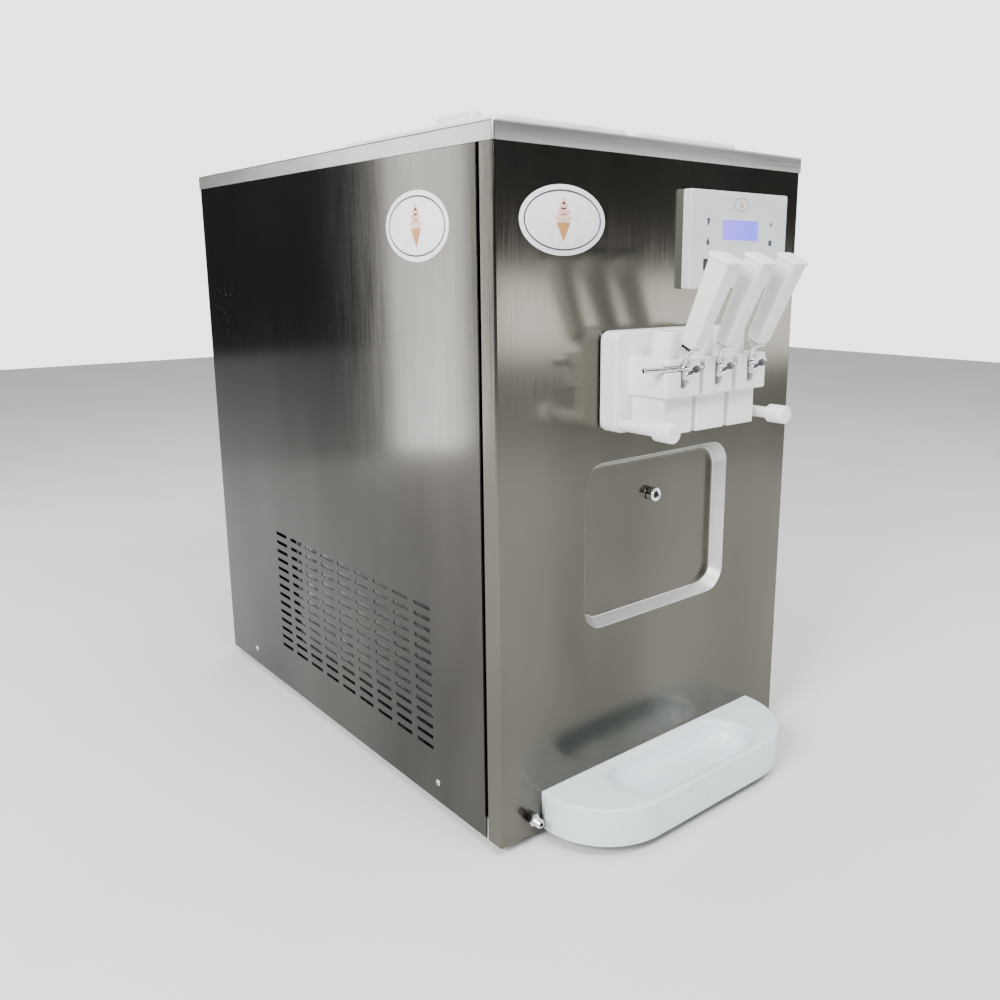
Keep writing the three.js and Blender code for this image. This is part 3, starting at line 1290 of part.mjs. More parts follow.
function fan() {
  const blade = (i) => (
    new THREE.BoxGeometry(3, 42, FAN_RADIUS - FAN_HUB + 6)
      .rotateZ(THREE.MathUtils.degToRad(32))
      .translate(0, 0, (FAN_RADIUS + FAN_HUB - 6) / 2)
      .rotateX((i * 2 * Math.PI) / FAN_BLADES)
  );
  const hub = bar('x', FAN_HUB, -9, 9, [0, 0], 20);
  const shaft = bar('x', FAN_SHAFT_RADIUS, 0, FAN_SHAFT_LENGTH, [0, 0], 10);
  const blades = Array.from({ length: FAN_BLADES }, (_, i) => blade(i));
  return join(hub, shaft, ...blades).translate(FAN_X, FAN_Y, FAN_Z);
}

function fanMotor() {
  const front = FAN_X + FAN_SPACE;
  const back = front + FAN_MOTOR_LENGTH;
  const at = [FAN_Y, FAN_Z];
  const stand = join(
    box(front + 15, back - 15, FAN_Y - 12, FAN_Y + 12, ON_FLOOR, FAN_Z),
    box(front + 5, back - 5, FAN_Y - 40, FAN_Y + 40, ON_FLOOR, ON_FLOOR + 3),
  );
  const socket = bar('x', FAN_SHAFT_RADIUS + GAP, front - 1, FAN_X + FAN_SHAFT_LENGTH + GAP, at, 10);
  return cut(join(bar('x', FAN_MOTOR_RADIUS, front, back, at, 20), stand), socket);
}

function cordGland() {
  const rear = CASE_DEPTH;
  const r = GLAND_RADIUS;
  const profile = [
    [GLAND_BORE, rear - 12],
    [r, rear - 12],
    [r, rear + GAP],
    [r + 3, rear + GAP],
    [r + 3, rear + 6],
    [r, rear + 8],
    [r - 2, rear + 18],
    [GLAND_BORE, rear + 18],
    [GLAND_BORE, rear - 12],
  ];
  return turned('y', profile, GLAND_AT, 12);
}

function addRefrigeration() {
  add('compressor', compressor(), blackPaint);
  add('condenser', condenser(), aluminium);
  add('condenser_fan', fan(), darkPlastic);
  add('fan_motor', fanMotor(), aluminium);
  add('cord_gland', cordGland(), rubber);
}

// ---------------------------------------------------------------- assembly

addCasing();
addHoppers();
addCylinders();
addHead();
addControls();
addTrayAndDrains();
addDrive();
addRefrigeration();

const extent = new THREE.Box3().setFromObject(machine);
const centre = extent.getCenter(new THREE.Vector3());
machine.position.set(-centre.x, -centre.y, -extent.min.z);
machine.updateMatrixWorld(true);

export default machine;
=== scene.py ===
"""Looks of a counter-top soft serve machine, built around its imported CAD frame.

Metres, +Z up, the front faces -Y. MM turns millimetres into metres.
"""
import json
import math

import bmesh
import bpy
from mathutils import Matrix, Vector


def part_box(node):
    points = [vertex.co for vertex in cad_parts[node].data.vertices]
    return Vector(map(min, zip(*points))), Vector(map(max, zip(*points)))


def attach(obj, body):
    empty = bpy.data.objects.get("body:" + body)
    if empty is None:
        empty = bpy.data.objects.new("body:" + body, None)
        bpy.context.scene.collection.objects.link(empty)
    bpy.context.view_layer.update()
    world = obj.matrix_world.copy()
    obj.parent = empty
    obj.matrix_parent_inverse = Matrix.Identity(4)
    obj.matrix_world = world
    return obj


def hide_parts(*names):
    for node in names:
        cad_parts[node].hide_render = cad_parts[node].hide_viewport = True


MM = 0.001
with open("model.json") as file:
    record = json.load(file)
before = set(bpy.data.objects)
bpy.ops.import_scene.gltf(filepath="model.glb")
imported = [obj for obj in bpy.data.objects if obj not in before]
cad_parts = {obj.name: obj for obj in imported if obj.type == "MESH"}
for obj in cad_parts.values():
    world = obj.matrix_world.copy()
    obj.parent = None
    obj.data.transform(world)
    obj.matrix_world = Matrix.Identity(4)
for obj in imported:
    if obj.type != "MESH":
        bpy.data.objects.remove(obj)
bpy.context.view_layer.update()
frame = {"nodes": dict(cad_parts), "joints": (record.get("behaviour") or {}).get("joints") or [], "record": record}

# -------- sizes of visible detail

SHEET = 1.5 * MM
CORNER_STEPS = 10
FOLD_RADIUS = 2.4 * MM
PANEL_RETURN = 24 * MM
HEM_WIDTH = 10 * MM
HEM_RISE = 28 * MM
RECESS_FILLET = 5 * MM
LIP_FLARE = 0.6
RECESS_LIP = RECESS_FILLET * LIP_FLARE
RECESS_DEPTH = 18 * MM
RECESS_SIZE = (252 * MM, 201 * MM)
RECESS_DRAFT = 10 * MM
RECESS_RADIUS = 28 * MM
# Recess faces that turn further from the front than this take the lighter steel of painted light; the rest take
# the casing's steel.
RECESS_WALL_LEAN = 0.8  # a face of the recess is a wall where its normal's Y is less than this
SPOUT_ABOVE_RECESS = 46.5 * MM
HEAD_OPENING = (106.3 * MM, 53.8 * MM)
VENT_SIZE = (36 * MM, 5 * MM)
VENT_PITCH = (49.4 * MM, 14.15 * MM)
VENT_START = (155 * MM, 70 * MM)
VENT_ROWS = 14
VENT_COLUMNS = {"left": 9, "right": 5}
STAR_RAYS = 8
STAR_STEPS = 4
STAR_RADIUS = 40 * MM
STAR_HOLE = 2.2 * MM
STAR_FROM_REAR = 74 * MM
STAR_RISE = 595 * MM
REAR_VENTS = (3, 8)
REAR_VENT_SIZE = (80 * MM, 5 * MM)
REAR_VENT_PITCH = (96 * MM, 14.15 * MM)
REAR_VENT_RISE = 560 * MM
GLAND_HOLE = 9.3 * MM
HOPPER_FLANGE = 2.9 * MM
LID_HEIGHT = 17.5 * MM
LID_GRIP = (18 * MM, 77 * MM)
SIDE_SCREWS_Y = (129 * MM, 676 * MM)
SIDE_SCREWS_RISE = 26 * MM
REAR_SCREWS_X = (-230 * MM, 0, 230 * MM)
REAR_SCREWS_Z = (40 * MM, 400 * MM, 780 * MM)
STICKER_SIZE = (121 * MM, 73 * MM)
FRONT_LABEL_X, FRONT_LABEL_Z = -163 * MM, 718 * MM
SIDE_LABEL_Y, SIDE_LABEL_Z = 143 * MM, 714 * MM


class Box:
    """A CAD node's box at rest."""

    def __init__(self, node):
        self.low, self.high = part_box(node)
        self.centre = (self.low + self.high) / 2
        self.size = self.high - self.low


# -------- node materials

def shader_of(material):
    return material.node_tree.nodes["Principled BSDF"]


def plain_material(name, color, roughness, metallic=0.0, **sockets):
    """A Principled material whose even values sit on its own sockets."""
    material = bpy.data.materials.new(name)
    material.use_nodes = True
    shader = shader_of(material)
    shader.inputs["Base Color"].default_value = (*color, 1)
    shader.inputs["Roughness"].default_value = roughness
    shader.inputs["Metallic"].default_value = metallic
    set_inputs(shader, sockets)
    return material


def set_inputs(node, values):
    for socket, value in values.items():
        node.inputs[socket.replace("_", " ")].default_value = value


def add_node(material, kind, **inputs):
    node = material.node_tree.nodes.new(f"ShaderNode{kind}")
    set_inputs(node, inputs)
    return node


def noise(material, scale, stretch=(1, 1, 1), detail=4.0):
    """Noise on the piece's own coordinates. stretch multiplies each axis."""
    tree = material.node_tree
    coordinates = add_node(material, "TexCoord")
    mapping = add_node(material, "Mapping", Scale=stretch)
    texture = add_node(material, "TexNoise", Scale=scale, Detail=detail)
    tree.links.new(coordinates.outputs["Object"], mapping.inputs["Vector"])
    tree.links.new(mapping.outputs["Vector"], texture.inputs["Vector"])
    return texture.outputs["Fac"]


def between(material, factor, low, high, start=0.3, end=0.7):
    """Maps a factor to a range of values."""
    node = add_node(material, "MapRange", From_Min=start, From_Max=end, To_Min=low, To_Max=high)
    material.node_tree.links.new(factor, node.inputs["Value"])
    return node.outputs["Result"]


def tint(material, factor, dark, light, start=0.3, end=0.7, socket="Base Color"):
    """Colours a socket between two colours by a factor."""
    ramp = add_node(material, "ValToRGB")
    ramp.color_ramp.elements[0].position = start
    ramp.color_ramp.elements[0].color = (*dark, 1)
    ramp.color_ramp.elements[1].position = end
    ramp.color_ramp.elements[1].color = (*light, 1)
    tree = material.node_tree
    tree.links.new(factor, ramp.inputs["Fac"])
    tree.links.new(ramp.outputs["Color"], shader_of(material).inputs[socket])


def bump(material, factor, distance, strength=0.4):
    node = add_node(material, "Bump", Strength=strength, Distance=distance)
    tree = material.node_tree
    tree.links.new(factor, node.inputs["Height"])
    tree.links.new(node.outputs["Normal"], shader_of(material).inputs["Normal"])


def link_roughness(material, factor):
    material.node_tree.links.new(factor, shader_of(material).inputs["Roughness"])


def brushed_steel(name, dark, light, roughness, grain=(900, 900, 12)):
    """Stainless sheet: fine grain, upright unless grain says so, upright streaks that are partly smudges and
    partly painted reflection, and an uneven polish.
    """
    material = plain_material(name, light, sum(roughness) / 2, 1.0)
    # Upright streaks in the colour: partly smudges, partly painted reflection bands.
    smudge_and_reflection_streaks = noise(material, 5.0, (1, 1, 0.35), 3.0)
    tint(material, smudge_and_reflection_streaks, dark, light)
    lines = noise(material, 1.0, grain, 2.0)
    link_roughness(material, between(material, lines, *roughness))
    bump(material, lines, 0.004 * MM, 0.06)
    return material


def moulded_plastic(name, dark, light, roughness, scatter=0.0):
    """Plastic with a slight cloudiness, a fine texture and an uneven gloss."""
    depth = [4 * MM] * 3
    material = plain_material(name, light, roughness, Subsurface_Weight=scatter, Subsurface_Radius=depth)
    tint(material, noise(material, 14.0), dark, light)
    link_roughness(material, between(material, noise(material, 60.0), roughness - 0.06, roughness + 0.08))
    bump(material, noise(material, 900.0, detail=2.0), 0.01 * MM, 0.12)
    return material


def worn_metal(name, dark, light, roughness, scale=90.0, relief=0.05):
    """Cast, plated or painted metal with grain, stains and an uneven polish."""
    material = plain_material(name, light, sum(roughness) / 2, 1.0)
    tint(material, noise(material, scale / 6), dark, light)
    link_roughness(material, between(material, noise(material, scale), *roughness))
    bump(material, noise(material, scale * 8, detail=3.0), relief * MM, 0.4)
    return material


def black_rubber():
    material = plain_material("rubber_black", (0.012, 0.012, 0.013), 0.75)
    tint(material, noise(material, 40.0), (0.008, 0.008, 0.009), (0.02, 0.02, 0.022))
    link_roughness(material, between(material, noise(material, 120.0), 0.65, 0.9))
    bump(material, noise(material, 700.0), 0.06 * MM)
    return material


def lit_window():
    """Backlit display: a violet glow that varies across the window."""
    material = plain_material("display_glow", (0.05, 0.05, 0.2), 0.12, Emission_Strength=2.2)
    glow = noise(material, 18.0, detail=1.0)
    tint(material, glow, (0.10, 0.12, 1.0), (0.34, 0.22, 1.0), 0, 1, "Emission Color")
    return material


def printed(name, color):
    """Ink or foil with a slight mottle."""
    material = plain_material(name, color, 0.4)
    darker = tuple(c * 0.86 for c in color)
    tint(material, noise(material, 160.0), darker, color)
    link_roughness(material, between(material, noise(material, 220.0), 0.32, 0.5))
    return material


STEELS = {
    # Painted shade: the front and side sheets are the casing's stainless made dark for the dark reflections on
    # them, the side sheet darker still.
    "casing_steel": ("steel_front", (0.09, 0.084, 0.07), (0.145, 0.136, 0.117), (0.13, 0.2)),
    "side_steel": ("steel_side", (0.04, 0.037, 0.033), (0.085, 0.08, 0.072), (0.09, 0.15)),
    "rim_steel": ("steel_rim", (0.44, 0.465, 0.425), (0.54, 0.565, 0.525), (0.28, 0.36), (12, 12, 900)),
    "top_steel": ("steel_top", (0.42, 0.44, 0.43), (0.52, 0.54, 0.53), (0.24, 0.34), (900, 12, 12)),
    # Painted light: the recess walls' steel is the casing's stainless made lighter, as well as rougher, for the
    # light they take from above.
    "recess_steel": ("steel_recess", (0.50, 0.51, 0.48), (0.62, 0.63, 0.62), (0.42, 0.52)),
    "inner_steel": ("steel_inner", (0.42, 0.43, 0.44), (0.56, 0.57, 0.58), (0.28, 0.42)),
}
METALS = {
    "chrome": ("chrome_plate", (0.62, 0.62, 0.63), (0.82, 0.83, 0.84), (0.05, 0.14), 120.0, 0.01),
    "dark_chrome": ("chrome_dark", (0.07, 0.07, 0.075), (0.14, 0.14, 0.15), (0.16, 0.28), 120.0, 0.02),
    "cast_iron": ("iron_cast", (0.07, 0.075, 0.08), (0.13, 0.14, 0.15), (0.45, 0.65), 70.0, 0.4),
    "black_paint": ("enamel_black", (0.008, 0.009, 0.01), (0.02, 0.022, 0.024), (0.22, 0.4), 80.0),
    "aluminium": ("aluminium_plain", (0.45, 0.46, 0.47), (0.62, 0.63, 0.64), (0.3, 0.45)),
}
PLASTICS = {
    "white_acetal": ("acetal_white", (0.74, 0.77, 0.735), (0.80, 0.82, 0.79), 0.33, 0.05),
    "tray_plastic": ("tray_white", (0.66, 0.75, 0.79), (0.72, 0.80, 0.84), 0.26, 0.06),
    "lid_plastic": ("lid_white", (0.72, 0.77, 0.73), (0.80, 0.84, 0.80), 0.34, 0.08),
    "panel_grey": ("panel_foil", (0.54, 0.61, 0.58), (0.62, 0.68, 0.65), 0.4),
    "dark_plastic": ("plastic_dark", (0.012, 0.013, 0.014), (0.026, 0.028, 0.03), 0.42),
    "board": ("board_green", (0.008, 0.07, 0.025), (0.015, 0.11, 0.04), 0.4),
}
INKS = {
    "ink": ("ink_dark", (0.05, 0.055, 0.09)),
    "sticker": ("sticker_white", (0.90, 0.90, 0.93)),
    "cone": ("sticker_cone", (0.50, 0.25, 0.08)),
    "swirl": ("sticker_swirl", (0.82, 0.52, 0.42)),
}


def make_materials():
    """One material for each finish."""
    made = {"display": lit_window(), "rubber": black_rubber()}
    makers = ((brushed_steel, STEELS), (worn_metal, METALS), (moulded_plastic, PLASTICS), (printed, INKS))
    for make, table in makers:
        made.update({finish: make(*values) for finish, values in table.items()})
    return made


MATERIALS = make_materials()

# -------- mesh helpers


def linked(name, data):
    """A new object in the scene."""
    obj = bpy.data.objects.new(name, data)
    bpy.context.scene.collection.objects.link(obj)
    return obj


def mesh_of(bm, name):
    """A mesh made of a bmesh, which is freed."""
    mesh = bpy.data.meshes.new(name)
    bm.to_mesh(mesh)
    bm.free()
    return mesh


def piece(name, bm, finish, body="machine", replaces=(), sharp=32):
    """Turns a bmesh into a shown piece that rides on a body."""
    bmesh.ops.remove_doubles(bm, verts=bm.verts, dist=0.005 * MM)
    bmesh.ops.recalc_face_normals(bm, faces=bm.faces)
    mesh = mesh_of(bm, name)
    mesh.polygons.foreach_set("use_smooth", [True] * len(mesh.polygons))
    mesh.set_sharp_from_angle(angle=math.radians(sharp))
    mesh.materials.append(MATERIALS[finish])
    obj = linked(name, mesh)
    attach(obj, body)
    if replaces:
        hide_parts(*replaces)
    return obj


def sweep(start, steps):
    """Angles of a quarter turn from a start in degrees."""
    return [math.radians(start + 90 * i / steps) for i in range(steps + 1)]


def rounded_rectangle(width, height, radius, steps=CORNER_STEPS):
    """Points (u, v) of a rectangle with round corners, counter-clockwise around its centre."""
    r = max(min(radius, width / 2, height / 2), 1e-6)
    points = []
    for su, sv, start in ((1, 1, 0), (-1, 1, 90), (-1, -1, 180), (1, -1, 270)):
        for angle in sweep(start, steps):
            u = su * (width / 2 - r) + r * math.cos(angle)
            v = sv * (height / 2 - r) + r * math.sin(angle)
            points.append((u, v))
    return points


def rectangle(low_u, low_v, high_u, high_v):
    return [(low_u, low_v), (high_u, low_v), (high_u, high_v), (low_u, high_v)]


def level(outline, centre, z):
    """An outline laid flat around a centre."""
    return [(centre[0] + u, centre[1] + v, z) for u, v in outline]


def upright(outline, centre, y):
    """An outline stood up around a centre, facing the front."""
    return [(centre[0] + u, y, centre[2] + v) for u, v in outline]


def loft(rings, close_first=True, close_last=True):
    """Faces between rings of points that have as many points each."""
    bm = bmesh.new()
    made = [[bm.verts.new(p) for p in ring] for ring in rings]
    count = len(made[0])
    for lower, upper in zip(made, made[1:]):
        for i in range(count):
            j = (i + 1) % count
            bm.faces.new((lower[i], lower[j], upper[j], upper[i]))
    if close_first:
        bm.faces.new(list(reversed(made[0])))
    if close_last:
        bm.faces.new(made[-1])
    return bm


AXES = {
    "x": Matrix(((0, 0, 1), (1, 0, 0), (0, 1, 0))),
    "y": Matrix(((1, 0, 0), (0, 0, 1), (0, 1, 0))),
    "z": Matrix.Identity(3),
}


def lathe(profile, origin, axis="z", segments=56, turn=None):
    """Turned body. profile is [(radius, distance along the axis)]; a radius of 0 closes an end."""
    bm = bmesh.new()
    matrix = (turn or AXES[axis]).to_4x4()
    matrix.translation = Vector(origin)
    rings = []
    for radius, along in profile:
        around = circle(radius, segments) if radius >= 1e-9 else [(0, 0)]
        rings.append([bm.verts.new(matrix @ Vector((u, v, along))) for u, v in around])
    for lower, upper in zip(rings, rings[1:]):
        for i in range(segments):
            j = (i + 1) % segments
            corners = dict.fromkeys([lower[i % len(lower)], lower[j % len(lower)]])
            corners.update(dict.fromkeys([upper[j % len(upper)], upper[i % len(upper)]]))
            if len(corners) > 2:
                bm.faces.new(list(corners))
    return bm


def corner_curve(start, corner, end, steps):
    """Points of a smooth bend from start to end."""
    shares = [i / steps for i in range(steps + 1)]
    return [start * (1 - t) ** 2 + corner * 2 * t * (1 - t) + end * t ** 2 for t in shares]


def fillet(points, radius, steps=4):
    """Rounds the inner corners of an open profile."""
    rounded = [Vector(points[0])]
    for before, at, after in zip(points, points[1:], points[2:]):
        before, at, after = Vector(before), Vector(at), Vector(after)
        reach = min(radius, (before - at).length / 2, (after - at).length / 2)
        start = at + (before - at).normalized() * reach
        end = at + (after - at).normalized() * reach
        rounded += corner_curve(start, at, end, steps)
    rounded.append(Vector(points[-1]))
    return [(p.x, p.y) for p in rounded]


def evaluated(obj, *others):
    """What obj is with its modifiers, as a bmesh. obj and the others are removed."""
    bpy.context.view_layer.update()
    mesh = bpy.data.meshes.new_from_object(obj.evaluated_get(bpy.context.evaluated_depsgraph_get()))
    for temporary in (obj, *others):
        bpy.data.objects.remove(temporary)
    bm = bmesh.new()
    bm.from_mesh(mesh)
    bpy.data.meshes.remove(mesh)
    return bm


def plate(outlines, thickness, matrix, edge=0.25 * MM):
    """Flat sheet with holes: the first outline is its edge, the others are holes.
    The sheet's front face lies in the matrix's XY plane and its thickness runs along -Z."""
    curve = bpy.data.curves.new("outline", "CURVE")
    curve.dimensions = "2D"
    curve.fill_mode = "BOTH"
    curve.extrude = thickness / 2 - edge
    curve.bevel_depth = edge
    curve.bevel_resolution = 1
    curve.offset = -edge
    for outline in outlines:
        spline = curve.splines.new("POLY")
        spline.points.add(len(outline) - 1)
        for point, (u, v) in zip(spline.points, outline):
            point.co = (u, v, 0, 1)
        spline.use_cyclic_u = True
    bm = evaluated(linked("outline", curve))
    bmesh.ops.transform(bm, matrix=matrix @ Matrix.Translation((0, 0, -thickness / 2)), verts=bm.verts)
    return bm


def facing(origin, direction):
    """Matrix whose XY plane faces -y, +y, -x, +x or +z. V points up, or back where it faces +z."""
    columns = {
        "-y": ((1, 0, 0), (0, 0, 1), (0, -1, 0)),
        "+y": ((-1, 0, 0), (0, 0, 1), (0, 1, 0)),
        "-x": ((0, -1, 0), (0, 0, 1), (-1, 0, 0)),
        "+x": ((0, 1, 0), (0, 0, 1), (1, 0, 0)),
        "+z": ((1, 0, 0), (0, 1, 0), (0, 0, 1)),
    }[direction]
    matrix = Matrix(columns).transposed().to_4x4()
    matrix.translation = Vector(origin)
    return matrix


def moved(outline, u, v):
    return [(a + u, b + v) for a, b in outline]


def circle(radius, steps=24):
    angles = [2 * math.pi * i / steps for i in range(steps)]
    return [(radius * math.cos(angle), radius * math.sin(angle)) for angle in angles]


def ellipse(width, height, steps=64):
    return [(width / 2 * u, height / 2 * v) for u, v in circle(1, steps)]


def merged(*parts):
    """Several bmeshes as one."""
    whole = bmesh.new()
    for part in parts:
        mesh = mesh_of(part, "part")
        whole.from_mesh(mesh)
        bpy.data.meshes.remove(mesh)
    return whole


def solid(bm, name="solid"):
    """An object whose faces point outwards."""
    bmesh.ops.recalc_face_normals(bm, faces=bm.faces)
    return linked(name, mesh_of(bm, name))


def carved(bm, cutters):
    """bm with the cutters' bodies taken away."""
    base, *tools = [solid(source) for source in (bm, *cutters)]
    for tool in tools:
        modifier = base.modifiers.new("cut", "BOOLEAN")
        modifier.operation = "DIFFERENCE"
        modifier.solver = "EXACT"
        modifier.object = tool
    return evaluated(base, *tools)


def voxel_skin(obj, size):
    """Gives overlapping closed bodies one fine, even outer skin."""
    remesh = obj.modifiers.new("even", "REMESH")
    remesh.mode = "VOXEL"
    remesh.voxel_size = size
    return remesh


def block(low, high, radius=0.0):
    """Box with square or round upright edges."""
    (x0, y0, z0), (x1, y1, z1) = low, high
    if radius:
        outline = rounded_rectangle(x1 - x0, y1 - y0, radius, 4)
    else:
        outline = [((x1 - x0) / 2 * u, (y1 - y0) / 2 * v) for u, v in ((1, 1), (-1, 1), (-1, -1), (1, -1))]
    centre = ((x0 + x1) / 2, (y0 + y1) / 2)
    return loft([level(outline, centre, z) for z in (z0, z1)])


def walled(obj, thickness):
    """Gives a skin its wall, on the inside."""
    modifier = obj.modifiers.new("wall", "SOLIDIFY")
    modifier.thickness = thickness
    modifier.offset = -1


def flat_faces(obj):
    """Keeps large flat faces flat in the shading and turns only the narrow faces at their edges."""
    modifier = obj.modifiers.new("flat", "WEIGHTED_NORMAL")
    modifier.weight = 90
    modifier.keep_sharp = True


def bevelled(obj, width, segments=2, angle=30):
    modifier = obj.modifiers.new("edge", "BEVEL")
    modifier.width = width
    modifier.segments = segments
    modifier.limit_method = "ANGLE"
    modifier.angle_limit = math.radians(angle)
    modifier.harden_normals = True


# -------- carried-over CAD nodes

CAD_EDGE = {"inner_steel": 0.4, "cast_iron": 1.2, "black_paint": 0.8, "aluminium": 0.5}


def finish_cad_nodes():
    """Gives every CAD node its material and softens its edges; pieces made below hide some."""
    slots = {s["node"]: s["material_slot"] for s in frame["record"]["subparts"]}
    for name, obj in frame["nodes"].items():
        finish = slots[name]
        obj.data.materials.clear()
        obj.data.materials.append(MATERIALS[finish])
        obj.data.polygons.foreach_set("use_smooth", [True] * len(obj.data.polygons))
        obj.data.set_sharp_from_angle(angle=math.radians(32))
        weld = obj.modifiers.new("weld", "WELD")
        weld.merge_threshold = 0.01 * MM
        bevelled(obj, CAD_EDGE.get(finish, 0.3) * MM)


# -------- casing

def recess_outline(grow, radius):
    width, height = RECESS_SIZE
    return rounded_rectangle(width + grow * 2, height + grow * 2, radius)


def recess_rings(centre, front):
    """Rings of the pressed recess, from its lip in the panel's face to its back."""
    angles = sweep(0, 5)
    rings = []
    for angle in angles:
        grow = RECESS_LIP - RECESS_FILLET * math.sin(angle) * LIP_FLARE
        depth = RECESS_FILLET * (1 - math.cos(angle)) * 0.5
        rings.append(upright(recess_outline(grow, RECESS_RADIUS + grow), centre, front + depth))
    for angle in angles:
        grow = -RECESS_DRAFT * 0.55 - RECESS_FILLET * (1 - math.cos(angle))
        depth = RECESS_DEPTH - RECESS_FILLET * (1 - math.sin(angle))
        rings.append(upright(recess_outline(grow, RECESS_RADIUS + grow * 0.3), centre, front + depth))
    return rings


def front_panel():
    """Folded sheet with the openings of the recess and the head, and the pressed recess."""
    box = Box("front_panel")
    front, back, half = box.low.y, box.low.y + PANEL_RETURN, box.high.x
    section = fillet([(-half, back), (-half, front), (half, front), (half, back)], FOLD_RADIUS, 6)
    half, inside = half - SHEET, front + SHEET
    section += fillet([(half, back), (half, inside), (-half, inside), (-half, back)], FOLD_RADIUS - SHEET, 6)
    shell = loft([level(section, (0, 0), z) for z in (box.low.z, box.high.z)])
    centre = Vector((0, front, Box("drip_spout").centre.z - SPOUT_ABOVE_RECESS))
    before, behind = front - SHEET, front + SHEET * 2
    outline = recess_outline(RECESS_LIP, RECESS_RADIUS + RECESS_LIP)
    mouth = loft([upright(outline, centre, y) for y in (before, behind)])
    head_z = Box("left_beater").centre.z
    reach, rise = HEAD_OPENING
    opening = block((-reach, before, head_z - rise), (reach, behind, head_z + rise))
    sheet = carved(shell, [mouth, opening])
    # The front sheet's steel is darkened: painted shade.
    flat_faces(piece("casing_front", sheet, "casing_steel", replaces=["front_panel"]))
    recess = loft(recess_rings(centre, front), close_first=False)
    pan = piece("front_recess_pan", recess, "casing_steel", sharp=50)
    # Painted light: the recess walls, picked by the way they face, get a lighter steel than its back.
    pan.data.materials.append(MATERIALS["recess_steel"])
    for face in pan.data.polygons:
        face.material_index = 1 if abs(face.normal.y) < RECESS_WALL_LEAN else 0
    walled(pan, SHEET * 0.8)
    flat_faces(pan)


def vent_outlines(side, origin_y, origin_z):
    width, height = VENT_SIZE
    holes = []
    for column in range(VENT_COLUMNS[side]):
        for row in range(VENT_ROWS):
            y = VENT_START[0] + column * VENT_PITCH[0] + origin_y
            z = VENT_START[1] + row * VENT_PITCH[1] + origin_z
            holes.append(moved(rounded_rectangle(width, height, height * 0.35, 3), y, z))
    return holes


def star_outlines(y, z):
    holes = [moved(circle(STAR_HOLE, 16), y, z)]
    for ray in range(STAR_RAYS):
        angle = 2 * math.pi * ray / STAR_RAYS
        for step in range(1, STAR_STEPS + 1):
            reach = STAR_RADIUS * step / STAR_STEPS
            at = (y + reach * math.cos(angle), z + reach * math.sin(angle))
            holes.append(moved(circle(STAR_HOLE, 16), *at))
    return holes


def side_panel(side):
    """Flat sheet with its holes, a front hem and the round bend between them."""
    node = f"{side}_side_panel"
    box = Box(node)
    sign, direction, face_x = (-1, "-x", box.low.x) if side == "left" else (1, "+x", box.high.x)
    holes = vent_outlines(side, Box("front_panel").low.y, box.low.z)
    if side == "left":
        holes += star_outlines(box.high.y - STAR_FROM_REAR, box.low.z + STAR_RISE)
    edge = rectangle(box.low.y, box.low.z, box.high.y, box.high.z)
    outlines = [[(u * sign, v) for u, v in points] for points in [edge, *holes]]
    sheet = plate(outlines, SHEET, facing((face_x, 0, 0), direction))
    inner = face_x - sign * HEM_WIDTH
    hem_low = (min(face_x, inner), box.low.y, box.low.z + HEM_RISE)
    hem_high = (max(face_x, inner), box.low.y + SHEET, box.high.z)
    radius = SHEET * 0.9
    profile = [(0, box.low.z), (radius, box.low.z), (radius, box.high.z), (0, box.high.z)]
    bend = lathe(profile, (face_x - sign * radius, box.low.y + radius, 0), segments=24)
    skin = merged(sheet, block(hem_low, hem_high), bend)
    # Painted shade: the side sheet's steel is darker than the front's.
    flat_faces(piece(f"casing_{side}", skin, "side_steel", replaces=[node]))


def rear_panel():
    """Flat sheet with three columns of vents and the cord gland's hole."""
    box = Box("rear_panel")
    columns, rows = REAR_VENTS
    holes = []
    for column in range(columns):
        for row in range(rows):
            u = (column - (columns - 1) / 2) * REAR_VENT_PITCH[0]
            v = box.low.z + REAR_VENT_RISE + row * REAR_VENT_PITCH[1] + REAR_VENT_SIZE[1] / 2
            holes.append(moved(rounded_rectangle(*REAR_VENT_SIZE, REAR_VENT_SIZE[1] * 0.4, 4), u, v))
    gland = Box("cord_gland")
    holes.append(moved(circle(GLAND_HOLE, 32), -gland.centre.x, gland.centre.z))
    edge = rectangle(box.low.x, box.low.z, box.high.x, box.high.z)
    sheet = plate([edge, *holes], SHEET, facing((0, box.high.y, 0), "+y"))
    flat_faces(piece("casing_rear", sheet, "casing_steel", replaces=["rear_panel"]))


def cover():
    """Cover of the casing: a skirt with a rolled top edge around a sheet with two openings."""
    box = Box("top_cover")
    hopper = Box("right_hopper")

    def outline(inset):
        return rounded_rectangle(box.size.x - inset * 2, box.size.y - inset * 2, 3 * MM, 4)

    rings = [level(outline(0), box.centre, box.low.z)]
    for angle in sweep(0, 6):
        z = box.high.z - FOLD_RADIUS * (1 - math.sin(angle))
        rings.append(level(outline(FOLD_RADIUS * (1 - math.cos(angle))), box.centre, z))
    rim = piece("cover_rim", loft(rings, False, False), "rim_steel", replaces=["top_cover"], sharp=50)
    walled(rim, SHEET)
    flat_faces(rim)
    outlines = [moved(outline(FOLD_RADIUS), box.centre.x, box.centre.y)]
    size = (hopper.size.x - HOPPER_FLANGE * 2, hopper.size.y - HOPPER_FLANGE * 2)
    for sign in (-1, 1):
        outlines.append(moved(rounded_rectangle(*size, 25 * MM), sign * hopper.centre.x, hopper.centre.y))
    top = plate(outlines, SHEET, facing((0, 0, box.high.z), "+z"), 0.1 * MM)
    flat_faces(piece("cover_top", top, "top_steel"))


